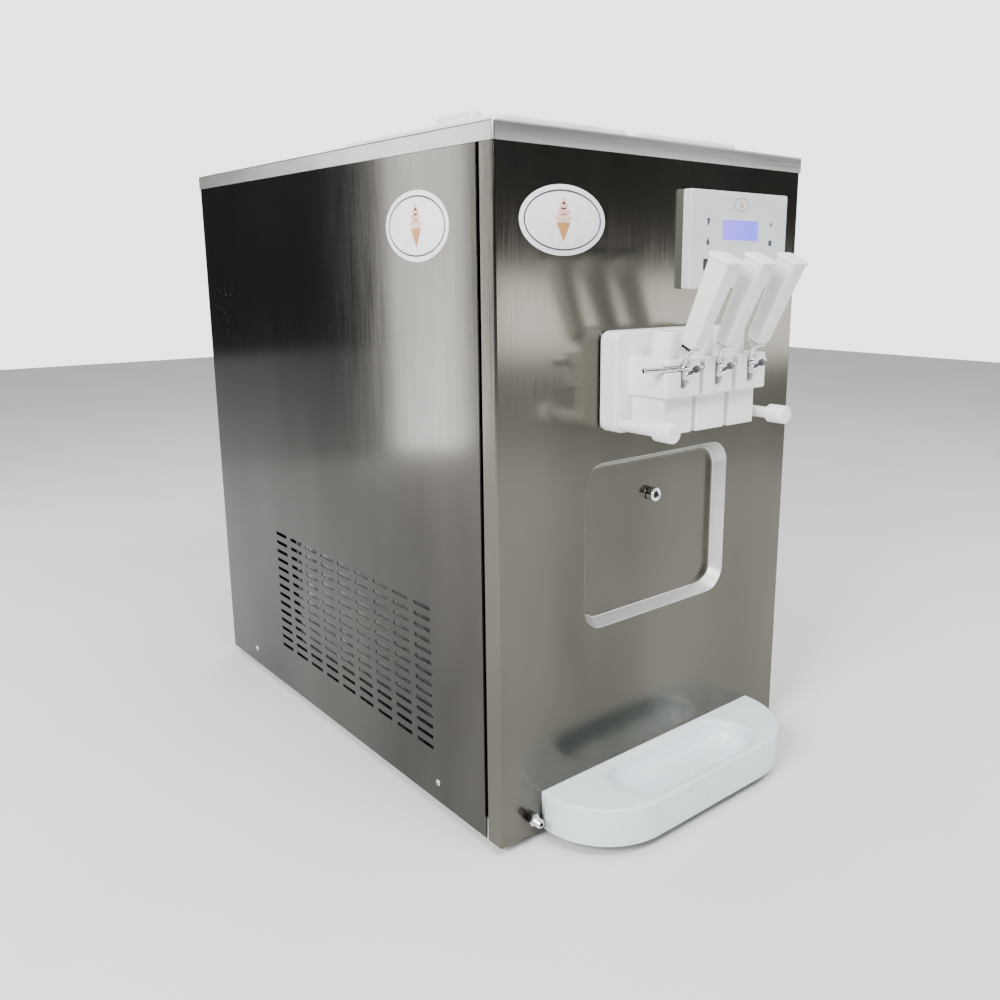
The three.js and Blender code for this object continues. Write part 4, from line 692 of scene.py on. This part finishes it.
def lid(side):
    """Hopper lid, a shallow shell with a stepped top, and the grip along its outer side."""
    node = f"{side}_hopper_lid"
    box = Box(node)
    sign = -1 if side == "left" else 1
    top = box.low.z + LID_HEIGHT
    profile = fillet([(0, box.low.z), (0.6 * MM, top), (14 * MM, top)], 4 * MM, 6)
    profile += [(16 * MM, top - 1.2 * MM), (20 * MM, top - 1.2 * MM)]
    rings = []
    for inset, z in profile:
        outline = rounded_rectangle(box.size.x - inset * 2, box.size.y - inset * 2, 15 * MM - inset * 0.6)
        rings.append(level(outline, box.centre, z))
    shell = piece(f"lid_{side}", loft(rings, close_first=False), "lid_plastic", node, [node], sharp=60)
    walled(shell, 2.4 * MM)
    flat_faces(shell)
    width, length = LID_GRIP
    centre = (box.centre.x + sign * (box.size.x / 2 - width - 2.5 * MM), box.low.y + 60 * MM + length / 2)
    rings = []
    for inset, z in fillet([(0, top - 2 * MM), (1 * MM, box.high.z), (8 * MM, box.high.z)], 4 * MM, 6):
        outline = rounded_rectangle(width - inset * 2, length - inset * 2, width / 2 - inset)
        rings.append(level(outline, centre, z))
    piece(f"lid_handle_{side}", loft(rings), "lid_plastic", node, sharp=60)


def foot(node):
    """Turned rubber foot with four ribs."""
    box = Box(node)
    r, low, high = box.size.x / 2, box.low.z, box.high.z
    rib = (high - low) / 6
    profile = [(0, low + 1 * MM), (r * 0.45, low + 1 * MM), (r * 0.5, low)]
    profile += [(r * 0.78, low), (r * 0.82, low + 0.8 * MM)]
    for i in range(1, 5):
        profile += [(r * (0.82 + 0.035 * i), low + rib * i), (r * (0.80 + 0.035 * i), low + rib * (i + 0.45))]
    profile += [(r, high - 1 * MM), (r * 0.96, high), (0, high)]
    turned = lathe(profile, (box.centre.x, box.centre.y, 0))
    piece(f"{node}_rubber", turned, "rubber", replaces=[node], sharp=50)


def pan_head_screw(name, at, normal):
    """Domed screw with a cross recess, set on a panel."""
    radius, height, sunk = 4.2 * MM, 1.5 * MM, 0.4 * MM
    profile = [(0, -sunk), (radius, -sunk), (radius, 0)]
    for i in range(6):
        angle = math.radians(18 * i)
        profile.append((radius * math.cos(angle), height * math.sin(angle)))
    head = lathe([*profile, (0, height)], (0, 0, 0), segments=32)
    slots = []
    for u, v in ((2.3 * MM, 0.45 * MM), (0.45 * MM, 2.3 * MM)):
        slots.append(block((-u, -v, height * 0.35), (u, v, height * 2)))
    screw = carved(head, slots)
    bmesh.ops.transform(screw, matrix=facing(at, normal), verts=screw.verts)
    piece(name, screw, "chrome")


def sticker(name, at, normal, scale=1.0, backed=True):
    """Oval label with a plain cone and swirl."""
    width, height = STICKER_SIZE[0] * scale, STICKER_SIZE[1] * scale
    layer = 0.12 * MM

    def sheet(part, outlines, tier, finish):
        matrix = facing(at, normal) @ Matrix.Translation((0, 0, layer * tier))
        piece(f"{name}_{part}", plate(outlines, layer, matrix, 0.02 * MM), finish)

    if backed:
        sheet("back", [ellipse(width, height)], 1, "sticker")
    sheet("ring", [ellipse(width * 0.9, height * 0.86), ellipse(width * 0.87, height * 0.81)], 2, "ink")
    unit = height * 0.09
    cone = [(-unit * 1.5, -unit * 0.3), (unit * 1.5, -unit * 0.3), (0, -unit * 3.4)]
    sheet("cone", [cone], 2, "cone")
    for i, (wide, rise) in enumerate(((3.6, 0.35), (2.8, 1.35), (1.8, 2.25), (0.8, 3.0))):
        sheet(f"swirl_{i}", [moved(ellipse(unit * wide, unit * 1.15), 0, unit * rise)], 2, "swirl")


def make_casing():
    front_panel()
    for side in ("left", "right"):
        side_panel(side)
        lid(side)
    rear_panel()
    cover()
    for node in ("front_left_foot", "rear_left_foot", "front_right_foot", "rear_right_foot"):
        foot(node)
    panel = Box("left_side_panel")
    front = Box("front_panel").low.y
    for i, y in enumerate(SIDE_SCREWS_Y):
        z = panel.low.z + SIDE_SCREWS_RISE
        pan_head_screw(f"left_screw_{i}", (panel.low.x, front + y, z), "-x")
        pan_head_screw(f"right_screw_{i}", (-panel.low.x, front + y, z), "+x")
    for i, x in enumerate(REAR_SCREWS_X):
        for j, z in enumerate(REAR_SCREWS_Z):
            pan_head_screw(f"rear_screw_{i}_{j}", (x, Box("rear_panel").high.y, z), "+y")
    sticker("front_label", (FRONT_LABEL_X, front, FRONT_LABEL_Z), "-y")
    sticker("side_label", (panel.low.x, front + SIDE_LABEL_Y, SIDE_LABEL_Z), "-x", 1.06)


# -------- discharge head

VALVES = {"left": -58 * MM, "middle": 0.0, "right": 58 * MM}
LEVER_TILT = math.radians(24.5)
LUG_FROM_PIVOT = Vector((0, -6 * MM, -7.5 * MM))
SCREW_RISE = math.radians(30)


def joint_at(name):
    return next(joint for joint in frame["joints"] if joint["name"] == name)["pos_m"]


def nozzle_star():
    """Outline of a six-pointed outlet."""
    star = []
    for i in range(12):
        radius = (12 if i % 2 == 0 else 6.6) * MM
        angle = math.pi * i / 6
        star.append((radius * math.cos(angle), radius * math.sin(angle)))
    return star


def discharge_head():
    """Flange with an upper and a set-back lower body, cut by grooves, valve bores, lever slots,
    star nozzles and the pivot pin's hole, then softened all over."""
    box = Box("discharge_block")
    axis_z = Box("left_beater").centre.z
    back, front, bottom = box.high.y, box.low.y, box.low.z
    flange_front = back - 26.3 * MM
    seam = flange_front + 2 * MM
    valve_y = front + 30 * MM
    top, step = axis_z + 28 * MM, axis_z - 14 * MM
    half, over = 88 * MM, 1 * MM
    outline = rounded_rectangle(box.size.x, 114 * MM, 12 * MM)
    flange = loft([upright(outline, (0, 0, axis_z), y) for y in (flange_front, back)])
    upper = block((-half, front, step), (half, seam, top), 3 * MM)
    lower_half = half - 7 * MM
    lower = block((-lower_half, front + 10 * MM, bottom), (lower_half, seam, step + over), 3 * MM)
    body = merged(flange, upper, lower)
    cutters = []
    for sign in (-1, 1):
        low_x, high_x = sign * 29 * MM - 4 * MM, sign * 29 * MM + 4 * MM
        cutters.append(block((low_x, front - over, step), (high_x, front + 10 * MM, top + over)))
        cutters.append(block((low_x, front + 9 * MM, bottom - over), (high_x, front + 20 * MM, step + over)))
    pivot = Vector((0, front + 4 * MM, top - 10 * MM))
    bore, slot = 15.3 * MM, 6 * MM
    floor, rim = bottom + 9 * MM, top + 2 * MM
    for x in VALVES.values():
        cutters.append(lathe([(0, floor), (bore, floor), (bore, rim), (0, rim)], (x, valve_y, 0)))
        cutters.append(block((x - slot, front - over, pivot.z - 22 * MM), (x + slot, valve_y, top + over)))
        nozzle = [level(nozzle_star(), (x, valve_y), z) for z in (bottom - over, bottom + 11 * MM)]
        cutters.append(loft(nozzle))
    pin = 3.3 * MM
    lead_low = (-half - over, front - over, pivot.z - pin)
    cutters.append(block(lead_low, (VALVES["left"], pivot.y + pin, pivot.z + pin)))
    hole = [(0, -60 * MM), (pin, -60 * MM), (pin, half + over), (0, half + over)]
    cutters.append(lathe(hole, (0, pivot.y, pivot.z), "x"))
    union = solid(body)
    voxel_skin(union, 1.5 * MM)
    head = carved(evaluated(union), cutters)
    head = piece("head_block", head, "white_acetal", replaces=["discharge_block"], sharp=45)
    voxel_skin(head, 1.1 * MM).use_smooth_shade = True
    smooth = head.modifiers.new("round", "SMOOTH")
    smooth.factor = 0.5
    smooth.iterations = 4


def valve_piston(side):
    """Piston with a seal groove near its foot and a notch that the lever's arm reaches into."""
    node = f"{side}_piston"
    box = Box(node)
    r, low, high = 15 * MM, box.low.z, box.high.z
    groove = r - 1.5 * MM
    points = [(0, low), (r, low), (r, low + 5 * MM), (groove, low + 5 * MM), (groove, low + 8 * MM)]
    points += [(r, low + 8 * MM), (r, high), (0, high)]
    body = lathe(fillet(points, 2.2 * MM), (box.centre.x, box.centre.y, 0))
    _, lever_y, lever_z = joint_at(f"{side}_lever_pivot")
    notch = block(
        (box.low.x - 1 * MM, box.low.y - 1 * MM, lever_z - 11.5 * MM),
        (box.high.x + 1 * MM, lever_y + 25 * MM, lever_z + 4.2 * MM),
    )
    piece(f"valve_{side}", carved(body, [notch]), "white_acetal", node, [node], sharp=40)


def lever_arm(side, pivot, lean):
    """Chrome lever: a collared neck with a foot plate, the hub, the screw's lug and the arm."""
    r = 2.8 * MM
    collar = [(0, 2 * MM), (r, 2 * MM), (r, 19 * MM), (r * 1.9, 20 * MM), (r * 1.9, 22 * MM), (r, 23 * MM)]
    neck = lathe(fillet([*collar, (r, 66 * MM), (0, 66 * MM)], 0.8 * MM), (0, 0, 0))
    foot_plate = block((-8 * MM, -8 * MM, 24.2 * MM), (8 * MM, 8 * MM, 26.6 * MM), 1.2 * MM)
    upper = merged(neck, foot_plate)
    bmesh.ops.transform(upper, matrix=lean, verts=upper.verts)

    def barrel(radius, at, segments):
        half = 4.5 * MM
        profile = fillet([(0, -half), (radius, -half), (radius, half), (0, half)], 1 * MM)
        return lathe(profile, at, "x", segments)

    hub, lug = barrel(7 * MM, pivot, 56), barrel(5.5 * MM, pivot + LUG_FROM_PIVOT, 40)
    low = (pivot.x - 4 * MM, pivot.y, pivot.z - 3 * MM)
    arm = block(low, (pivot.x + 4 * MM, pivot.y + 24 * MM, pivot.z + 3 * MM), 1 * MM)
    whole = merged(upper, hub, lug, arm)
    piece(f"lever_arm_{side}", whole, "chrome", f"{side}_lever", [f"{side}_lever"], sharp=40)


def lever_grip(side, lean):
    """White eight-sided grip that widens upwards to a flat cap."""

    def ring(size, z):
        flat = size / 2
        inner = flat * 0.72
        points = [(flat, inner), (inner, flat), (-inner, flat), (-flat, inner)]
        return [lean @ Vector((u, v, z)) for u, v in points + [(-u, -v) for u, v in points]]

    sections = ((15.75, 27), (21, 32), (27, 126), (26.4, 127.2), (30, 127.6), (30, 130), (28, 131))
    grip = loft([ring(size * MM, z * MM) for size, z in sections])
    grip = piece(f"handle_{side}", grip, "white_acetal", f"{side}_lever", [f"{side}_grip"], sharp=30)
    bevelled(grip, 0.7 * MM, 3, 20)


def adjusting_screw(side, pivot):
    """Threaded screw with a round head, through the lever's lug."""
    tip, end = -5.5 * MM, 18.5 * MM
    head = end - 5 * MM
    pitch, crest, root = 0.8 * MM, 2.0 * MM, 1.65 * MM
    profile = [(0, tip), (root, tip)]
    for i in range(15):
        start = -5.2 * MM + i * pitch
        profile += [(crest, start + pitch * 0.35), (root, start + pitch * 0.9)]
    profile += [(crest, head - 2 * MM), (crest, head), (3.8 * MM, head), (4 * MM, head + 0.5 * MM)]
    profile += [(4 * MM, end - 0.6 * MM), (3.4 * MM, end), (0, end)]
    direction = Vector((0, -math.cos(SCREW_RISE), math.sin(SCREW_RISE)))
    turn = direction.to_track_quat("Z", "X").to_matrix()
    screw = lathe(profile, pivot + LUG_FROM_PIVOT, turn=turn, segments=24)
    node = f"{side}_adjusting_screw"
    piece(f"adjuster_{side}", screw, "dark_chrome", f"{side}_adjuster", [node], sharp=35)


def lever_parts(side):
    """Lever, grip and adjusting screw, all about the lever's pivot."""
    pivot = Vector(joint_at(f"{side}_lever_pivot"))
    lean = Matrix.Translation(pivot) @ Matrix.Rotation(LEVER_TILT, 4, "X")
    lever_arm(side, pivot, lean)
    lever_grip(side, lean)
    adjusting_screw(side, pivot)


def pivot_rod():
    """Chrome pin through the three levers, bent back at its left end."""
    _, y, z = joint_at("left_lever_pivot")
    radius, bend = 3 * MM, math.radians(16)
    corner = Vector((-88 * MM, y, z))
    end = corner + Vector((-math.cos(bend), math.sin(bend), 0)) * 26 * MM
    before, after = corner + Vector((4 * MM, 0, 0)), corner.lerp(end, 0.18)
    path = [Vector((Box("pivot_pin").high.x, y, z)), *corner_curve(before, corner, after, 6), end]
    rings = []
    for i, p in enumerate(path):
        along = (path[min(i + 1, len(path) - 1)] - path[max(i - 1, 0)]).normalized()
        turn = along.to_track_quat("Z", "Y").to_matrix()
        rings.append([p + turn @ Vector((radius * u, radius * v, 0)) for u, v in circle(1, 32)])
    rod = piece("pivot_rod", loft(rings), "chrome", "pivot_pin", ["pivot_pin"], sharp=40)
    bevelled(rod, 0.7 * MM, 3, 50)


def thumb_screw(side):
    """White knob on a stem that holds the head's flange."""
    node = f"{side}_hand_screw"
    box = Box(node)
    front, back = box.low.y, box.high.y
    knob, stem, stud = 11 * MM, 6.8 * MM, 4 * MM
    shoulder = front + 25 * MM
    seat = shoulder + 55 * MM
    points = [(0, front), (knob, front), (knob, shoulder), (stem, shoulder), (stem, seat), (stud, seat)]
    points += [(stud, back), (0, back)]
    screw = lathe(fillet(points, 2.4 * MM, 6), (box.centre.x, 0, box.centre.z), "y", 48)
    piece(f"thumb_screw_{side}", screw, "white_acetal", node, [node], sharp=40)


def make_head():
    discharge_head()
    pivot_rod()
    for side in VALVES:
        valve_piston(side)
        lever_parts(side)
    for side in ("left", "right"):
        thumb_screw(side)


# -------- control panel

KEYS = ("auto", "wash", "set", "stop")
ICON_AT = {"cone": (-62, 9), "drop": (-62, -14), "flake": (61, 9), "square": (61, -14)}


def icon_outlines(name):
    """Plain pictograms, in millimetres around their centre."""
    if name == "cone":
        return [[(-2.6, 0.4), (2.6, 0.4), (0, -5)], moved(ellipse(5.4, 4.4, 24), 0, 2.6)]
    if name == "drop":
        points = [(0, 5)]
        for i in range(13):
            angle = math.radians(20 - 220 * i / 12)
            points.append((3 * math.cos(angle), -1.5 + 3 * math.sin(angle)))
        return [points]
    if name == "flake":
        bars = []
        for i in range(3):
            angle = math.pi * i / 3
            u, v = math.cos(angle), math.sin(angle)
            bars.append([(4 * u - 0.4 * v, 4 * v + 0.4 * u), (-4 * u - 0.4 * v, -4 * v + 0.4 * u)])
            bars[-1] += [(-4 * u + 0.4 * v, -4 * v - 0.4 * u), (4 * u + 0.4 * v, 4 * v - 0.4 * u)]
        return bars
    return [rounded_rectangle(7, 7, 1, 3)]


def display(front):
    """Lit window in a thin bezel on the panel's face."""
    window = Box("display")
    width, height = window.size.x, window.size.z
    bezel = [rounded_rectangle(width + 5 * MM, height + 5 * MM, 2 * MM, 5)]
    bezel.append(rounded_rectangle(width - 1 * MM, height - 1 * MM, 0.8 * MM, 4))
    at = facing((window.centre.x, front - 0.25 * MM, window.centre.z), "-y")
    piece("display_bezel", plate(bezel, 0.3 * MM, at, 0.05 * MM), "panel_grey")
    glass = rounded_rectangle(width, height, 0.6 * MM, 4)
    at = facing((window.centre.x, window.low.y, window.centre.z), "-y")
    piece("display_window", plate([glass], window.size.y, at, 0.2 * MM), "display", replaces=["display"])


def control_panel():
    """Housing with its openings, the display and the printed symbols."""
    box = Box("control_panel")
    front, back = box.low.y, box.high.y
    rings = []
    for inset, y in fillet([(0, back), (0, front), (6 * MM, front)], 1.6 * MM, 5):
        outline = rounded_rectangle(box.size.x - inset * 2, box.size.z - inset * 2, 2.5 * MM, 5)
        rings.append(upright(outline, box.centre, y))
    wall, gap = 2.5 * MM, 0.3 * MM
    low = (box.low.x + wall, front + wall, box.low.z + wall)
    cutters = [block(low, (box.high.x - wall, back + wall, box.high.z - wall))]
    for node in ("display", *(f"{name}_key" for name in KEYS)):
        opening = Box(node)
        trim, rise = (1.0 * MM, 1.5 * MM) if node.endswith("key") else (0.0, 0.0)
        x0, x1 = opening.low.x + trim - gap, opening.high.x - trim + gap
        z0, z1 = opening.low.z + rise - gap, opening.high.z - rise + gap
        cutters.append(block((x0, front - wall, z0), (x1, front + wall * 2, z1)))
    housing = carved(loft(rings), cutters)
    flat_faces(piece("control_housing", housing, "panel_grey", replaces=["control_panel"], sharp=40))
    display(front)
    for name, (u, v) in ICON_AT.items():
        at = (box.centre.x + u * MM, front - 0.14 * MM, Box("display").centre.z + v * MM)
        for i, points in enumerate(icon_outlines(name)):
            outline = [(a * MM, b * MM) for a, b in points]
            piece(f"icon_{name}_{i}", plate([outline], 0.12 * MM, facing(at, "-y"), 0.01 * MM), "ink")
    sticker("panel_label", (box.centre.x, front, box.high.z - 15 * MM), "-y", 0.26, backed=False)


def key_cap(name):
    """Dark key with a slightly pillowed face on its flange."""
    node = f"{name}_key"
    box = Box(node)
    width, height = box.size.x - 2 * MM, box.size.z - 3 * MM
    rings = []
    for inset, depth in ((0, 3.9), (0, 0.7), (0.3, 0.35), (1.0, 0.12), (3.0, 0.0), (5.0, 0.1)):
        outline = rounded_rectangle(width - inset * 2 * MM, height - inset * 2 * MM, 1.6 * MM, 5)
        rings.append(upright(outline, box.centre, box.low.y + depth * MM))
    flange = block((box.low.x, box.high.y - 1 * MM, box.low.z), box.high)
    piece(f"key_{name}", merged(loft(rings), flange), "dark_plastic", node, [node], sharp=40)


def make_controls():
    control_panel()
    for name in KEYS:
        key_cap(name)


# -------- drip tray, spout and drain

def tray_outline(box, inset):
    """Straight back, two large front corners. inset moves every side but the back inwards."""
    radius = 96 * MM
    back = Box("front_panel").low.y - 0.3 * MM
    arc_x, arc_y = box.size.x / 2 - radius, box.low.y + radius
    r = radius - inset
    points = [(-(arc_x + r), back)]
    for sign, start in ((-1, 180), (1, 270)):
        for angle in sweep(start, 20):
            points.append((sign * arc_x + r * math.cos(angle), arc_y + r * math.sin(angle)))
    points.append((arc_x + r, back))
    return points


def basin(grow):
    """Outline of the tray's basin, grown by some millimetres."""
    return rounded_rectangle(230 * MM + grow * MM * 2, 82 * MM + grow * MM * 2, 41 * MM + grow * MM, 14)


def drip_tray():
    """Moulded skin, deck and sunk basin in one wall, then the rear wall with its two hooks."""
    box = Box("drip_tray")
    top = box.high.z
    back = Box("front_panel").low.y
    wall_profile = fillet([(1.5 * MM, box.low.z), (0, top), (5 * MM, top)], 3.5 * MM, 7)
    skin = loft([level(tray_outline(box, inset), (0, 0), z) for inset, z in wall_profile], False, False)
    centre = (0.0, back - 50 * MM)
    profile = [(5, 0), (4.4, 0.5), (3.2, 1.1), (1.2, 1.6), (-0.6, 3), (-2.4, 7), (-4.2, 13), (-7.5, 20)]
    profile += [(-12, 24.5), (-18, 26.6), (-25, 27)]
    bowl = loft([level(basin(grow), centre, top - depth * MM) for grow, depth in profile], close_first=False)
    outlines = [tray_outline(box, wall_profile[-1][0]), moved(basin(profile[0][0]), *centre)]
    deck = plate(outlines, 0, facing((0, 0, top), "+z"), 0)
    tray = piece("tray_shell", merged(skin, deck, bowl), "tray_plastic", "drip_tray", ["drip_tray"], sharp=60)
    walled(tray, 2.6 * MM)
    flat_faces(tray)
    half = box.size.x / 2 - 2 * MM
    rear = [block((-half, back - 3 * MM, box.low.z), (half, back - 0.4 * MM, top - 1 * MM))]
    for sign in (-1, 1):
        x, reach = sign * 110 * MM, 10 * MM
        low, high = (x - reach, back - 1 * MM, top - 12 * MM), (x + reach, box.high.y, top - 9 * MM)
        rear.append(block(low, high, 1 * MM))
    piece("tray_hooks", merged(*rear), "tray_plastic", "drip_tray")


def spout():
    """Chrome spout in the recess, with a dark body in its bore as painted shade."""
    box = Box("drip_spout")
    y0, y1 = box.low.y, box.high.y
    at = (box.centre.x, 0, box.centre.z)
    outer, bore, stem = 8.8 * MM, 4.3 * MM, 5.8 * MM
    seat = y0 + 11 * MM
    points = [(bore, y0 + 1 * MM), (bore * 1.25, y0), (outer, y0), (outer, seat)]
    profile = fillet([*points, (stem, seat), (stem, y1), (bore, y1)], 1.6 * MM, 5)
    ring = lathe([*profile, profile[0]], at, "y", 48)
    piece("spout_ring", ring, "chrome", replaces=["drip_spout"], sharp=40)
    # Painted shade: a dark body fills the bore a little behind its mouth so that the hole reads dark.
    shade_radius, mouth = bore - 0.05 * MM, y0 + 2.5 * MM
    shade = lathe([(0, mouth), (shade_radius, mouth), (shade_radius, seat), (0, seat)], at, "y", 32)
    piece("spout_bore_shade", shade, "rubber")


def drain():
    """Barbed drain tail and the hexagonal nut that holds it."""
    box = Box("drain_fitting")
    y0, y1 = box.low.y, box.high.y
    at = (box.centre.x, 0, box.centre.z)
    profile = [(2.5 * MM, y0 + 14 * MM), (2.5 * MM, y0), (4.1 * MM, y0)]
    for i in range(3):
        start = y0 + i * 3.4 * MM
        profile += [(5.4 * MM, start + 2.6 * MM), (4.3 * MM, start + 3.3 * MM)]
    profile += [(4.3 * MM, y0 + 13 * MM), (4 * MM, y1), (0, y1), (0, y0 + 14 * MM)]
    tail = lathe(profile, at, "y", 36)
    front = Box("front_panel").low.y
    rings = []
    for radius, proud in ((6.8, 8.3), (7.9, 7.4), (7.9, 1.2), (6.8, 0.3)):
        hexagon = [(radius * MM * u, radius * MM * v) for u, v in circle(1, 6)]
        rings.append(upright(hexagon, at, front - proud * MM))
    piece("drain_nut", merged(tail, loft(rings)), "chrome", replaces=["drain_fitting"], sharp=30)


def make_tray():
    drip_tray()
    spout()
    drain()


# -------- stage, light and camera

def floor_material():
    material = plain_material("floor_pale", (0.72, 0.72, 0.71), 0.7)
    tint(material, noise(material, 3.0), (0.70, 0.70, 0.69), (0.74, 0.74, 0.73))
    return material


def make_stage():
    half, depth = 6.0, 0.02
    corners = rectangle(-half, -half, half, half)
    floor = solid(loft([level(corners, (0, 0), z) for z in (-depth, 0.0)]), "floor")
    floor.data.materials.append(floor_material())


def area_light(name, at, aim, size, watts, color=(1, 1, 1)):
    data = bpy.data.lights.new(name, "AREA")
    data.shape = "RECTANGLE"
    data.size, data.size_y = size
    data.energy = watts
    data.color = color
    lamp = linked(name, data)
    lamp.location = at
    lamp.rotation_mode = "QUATERNION"
    lamp.rotation_quaternion = (Vector(aim) - Vector(at)).to_track_quat("-Z", "Y")
    lamp.visible_camera = False


def make_lights():
    area_light("key", (-2.6, -1.0, 1.9), (0, -0.2, 0.4), (1.2, 1.2), 150)
    area_light("fill", (2.4, -1.2, 1.8), (0, 0, 0.4), (1.2, 1.2), 12, (0.96, 0.98, 1.0))
    area_light("top", (0, 0.6, 3.0), (0, 0, 0.8), (2.4, 2.4), 60)
    area_light("front_top", (0.1, -1.9, 2.9), (0, -0.4, 0.2), (1.4, 0.8), 85)
    area_light("side_strip", (-1.5, 1.7, 0.75), (-0.25, -0.1, 0.5), (0.26, 1.5), 14)
    area_light("front_band", (1.75, -1.75, 0.5), (0, -0.3, 0.6), (1.7, 0.28), 9)
    make_world()


def make_world():
    """Studio surround: dark walls below a bright ceiling, with a white backdrop behind the object."""
    world = bpy.data.worlds.new("studio")
    world.use_nodes = True
    tree = world.node_tree
    surround = tree.nodes["Background"]
    surround.inputs["Strength"].default_value = 1.0
    direction = tree.nodes.new("ShaderNodeTexCoord")
    split = tree.nodes.new("ShaderNodeSeparateXYZ")
    ramp = tree.nodes.new("ShaderNodeValToRGB")
    ramp.color_ramp.elements[0].position = 0.0
    ramp.color_ramp.elements[0].color = (0.10, 0.10, 0.105, 1)
    ramp.color_ramp.elements[1].position = 0.75
    ramp.color_ramp.elements[1].color = (0.95, 0.96, 0.98, 1)
    middle = ramp.color_ramp.elements.new(0.3)
    middle.color = (0.16, 0.16, 0.165, 1)
    tree.links.new(direction.outputs["Generated"], split.inputs["Vector"])
    tree.links.new(split.outputs["Z"], ramp.inputs["Fac"])
    tree.links.new(ramp.outputs["Color"], surround.inputs["Color"])
    backdrop = tree.nodes.new("ShaderNodeBackground")
    backdrop.inputs["Color"].default_value = (0.93, 0.93, 0.93, 1)
    backdrop.inputs["Strength"].default_value = 3.2
    path = tree.nodes.new("ShaderNodeLightPath")
    mix = tree.nodes.new("ShaderNodeMixShader")
    tree.links.new(path.outputs["Is Camera Ray"], mix.inputs["Fac"])
    tree.links.new(surround.outputs["Background"], mix.inputs[1])
    tree.links.new(backdrop.outputs["Background"], mix.inputs[2])
    tree.links.new(mix.outputs["Shader"], tree.nodes["World Output"].inputs["Surface"])
    bpy.context.scene.world = world


CAMERA_AT = Vector((-0.82616, -1.07311, 0.66838))
CAMERA_FORWARD = Vector((0.63352, 0.74441, -0.21096))
CAMERA_LENS = 32.99
CAMERA_SHIFT = (-0.0455, -0.0339)


def make_camera():
    data = bpy.data.cameras.new("camera")
    data.sensor_width = 36
    data.lens = CAMERA_LENS
    data.shift_x, data.shift_y = CAMERA_SHIFT
    data.clip_start = 0.01
    camera = linked("camera", data)
    camera.location = CAMERA_AT
    camera.rotation_mode = "QUATERNION"
    camera.rotation_quaternion = CAMERA_FORWARD.to_track_quat("-Z", "Y")
    bpy.context.scene.camera = camera


make_camera()
make_stage()
make_lights()
finish_cad_nodes()
make_casing()
make_head()
make_controls()
make_tray()
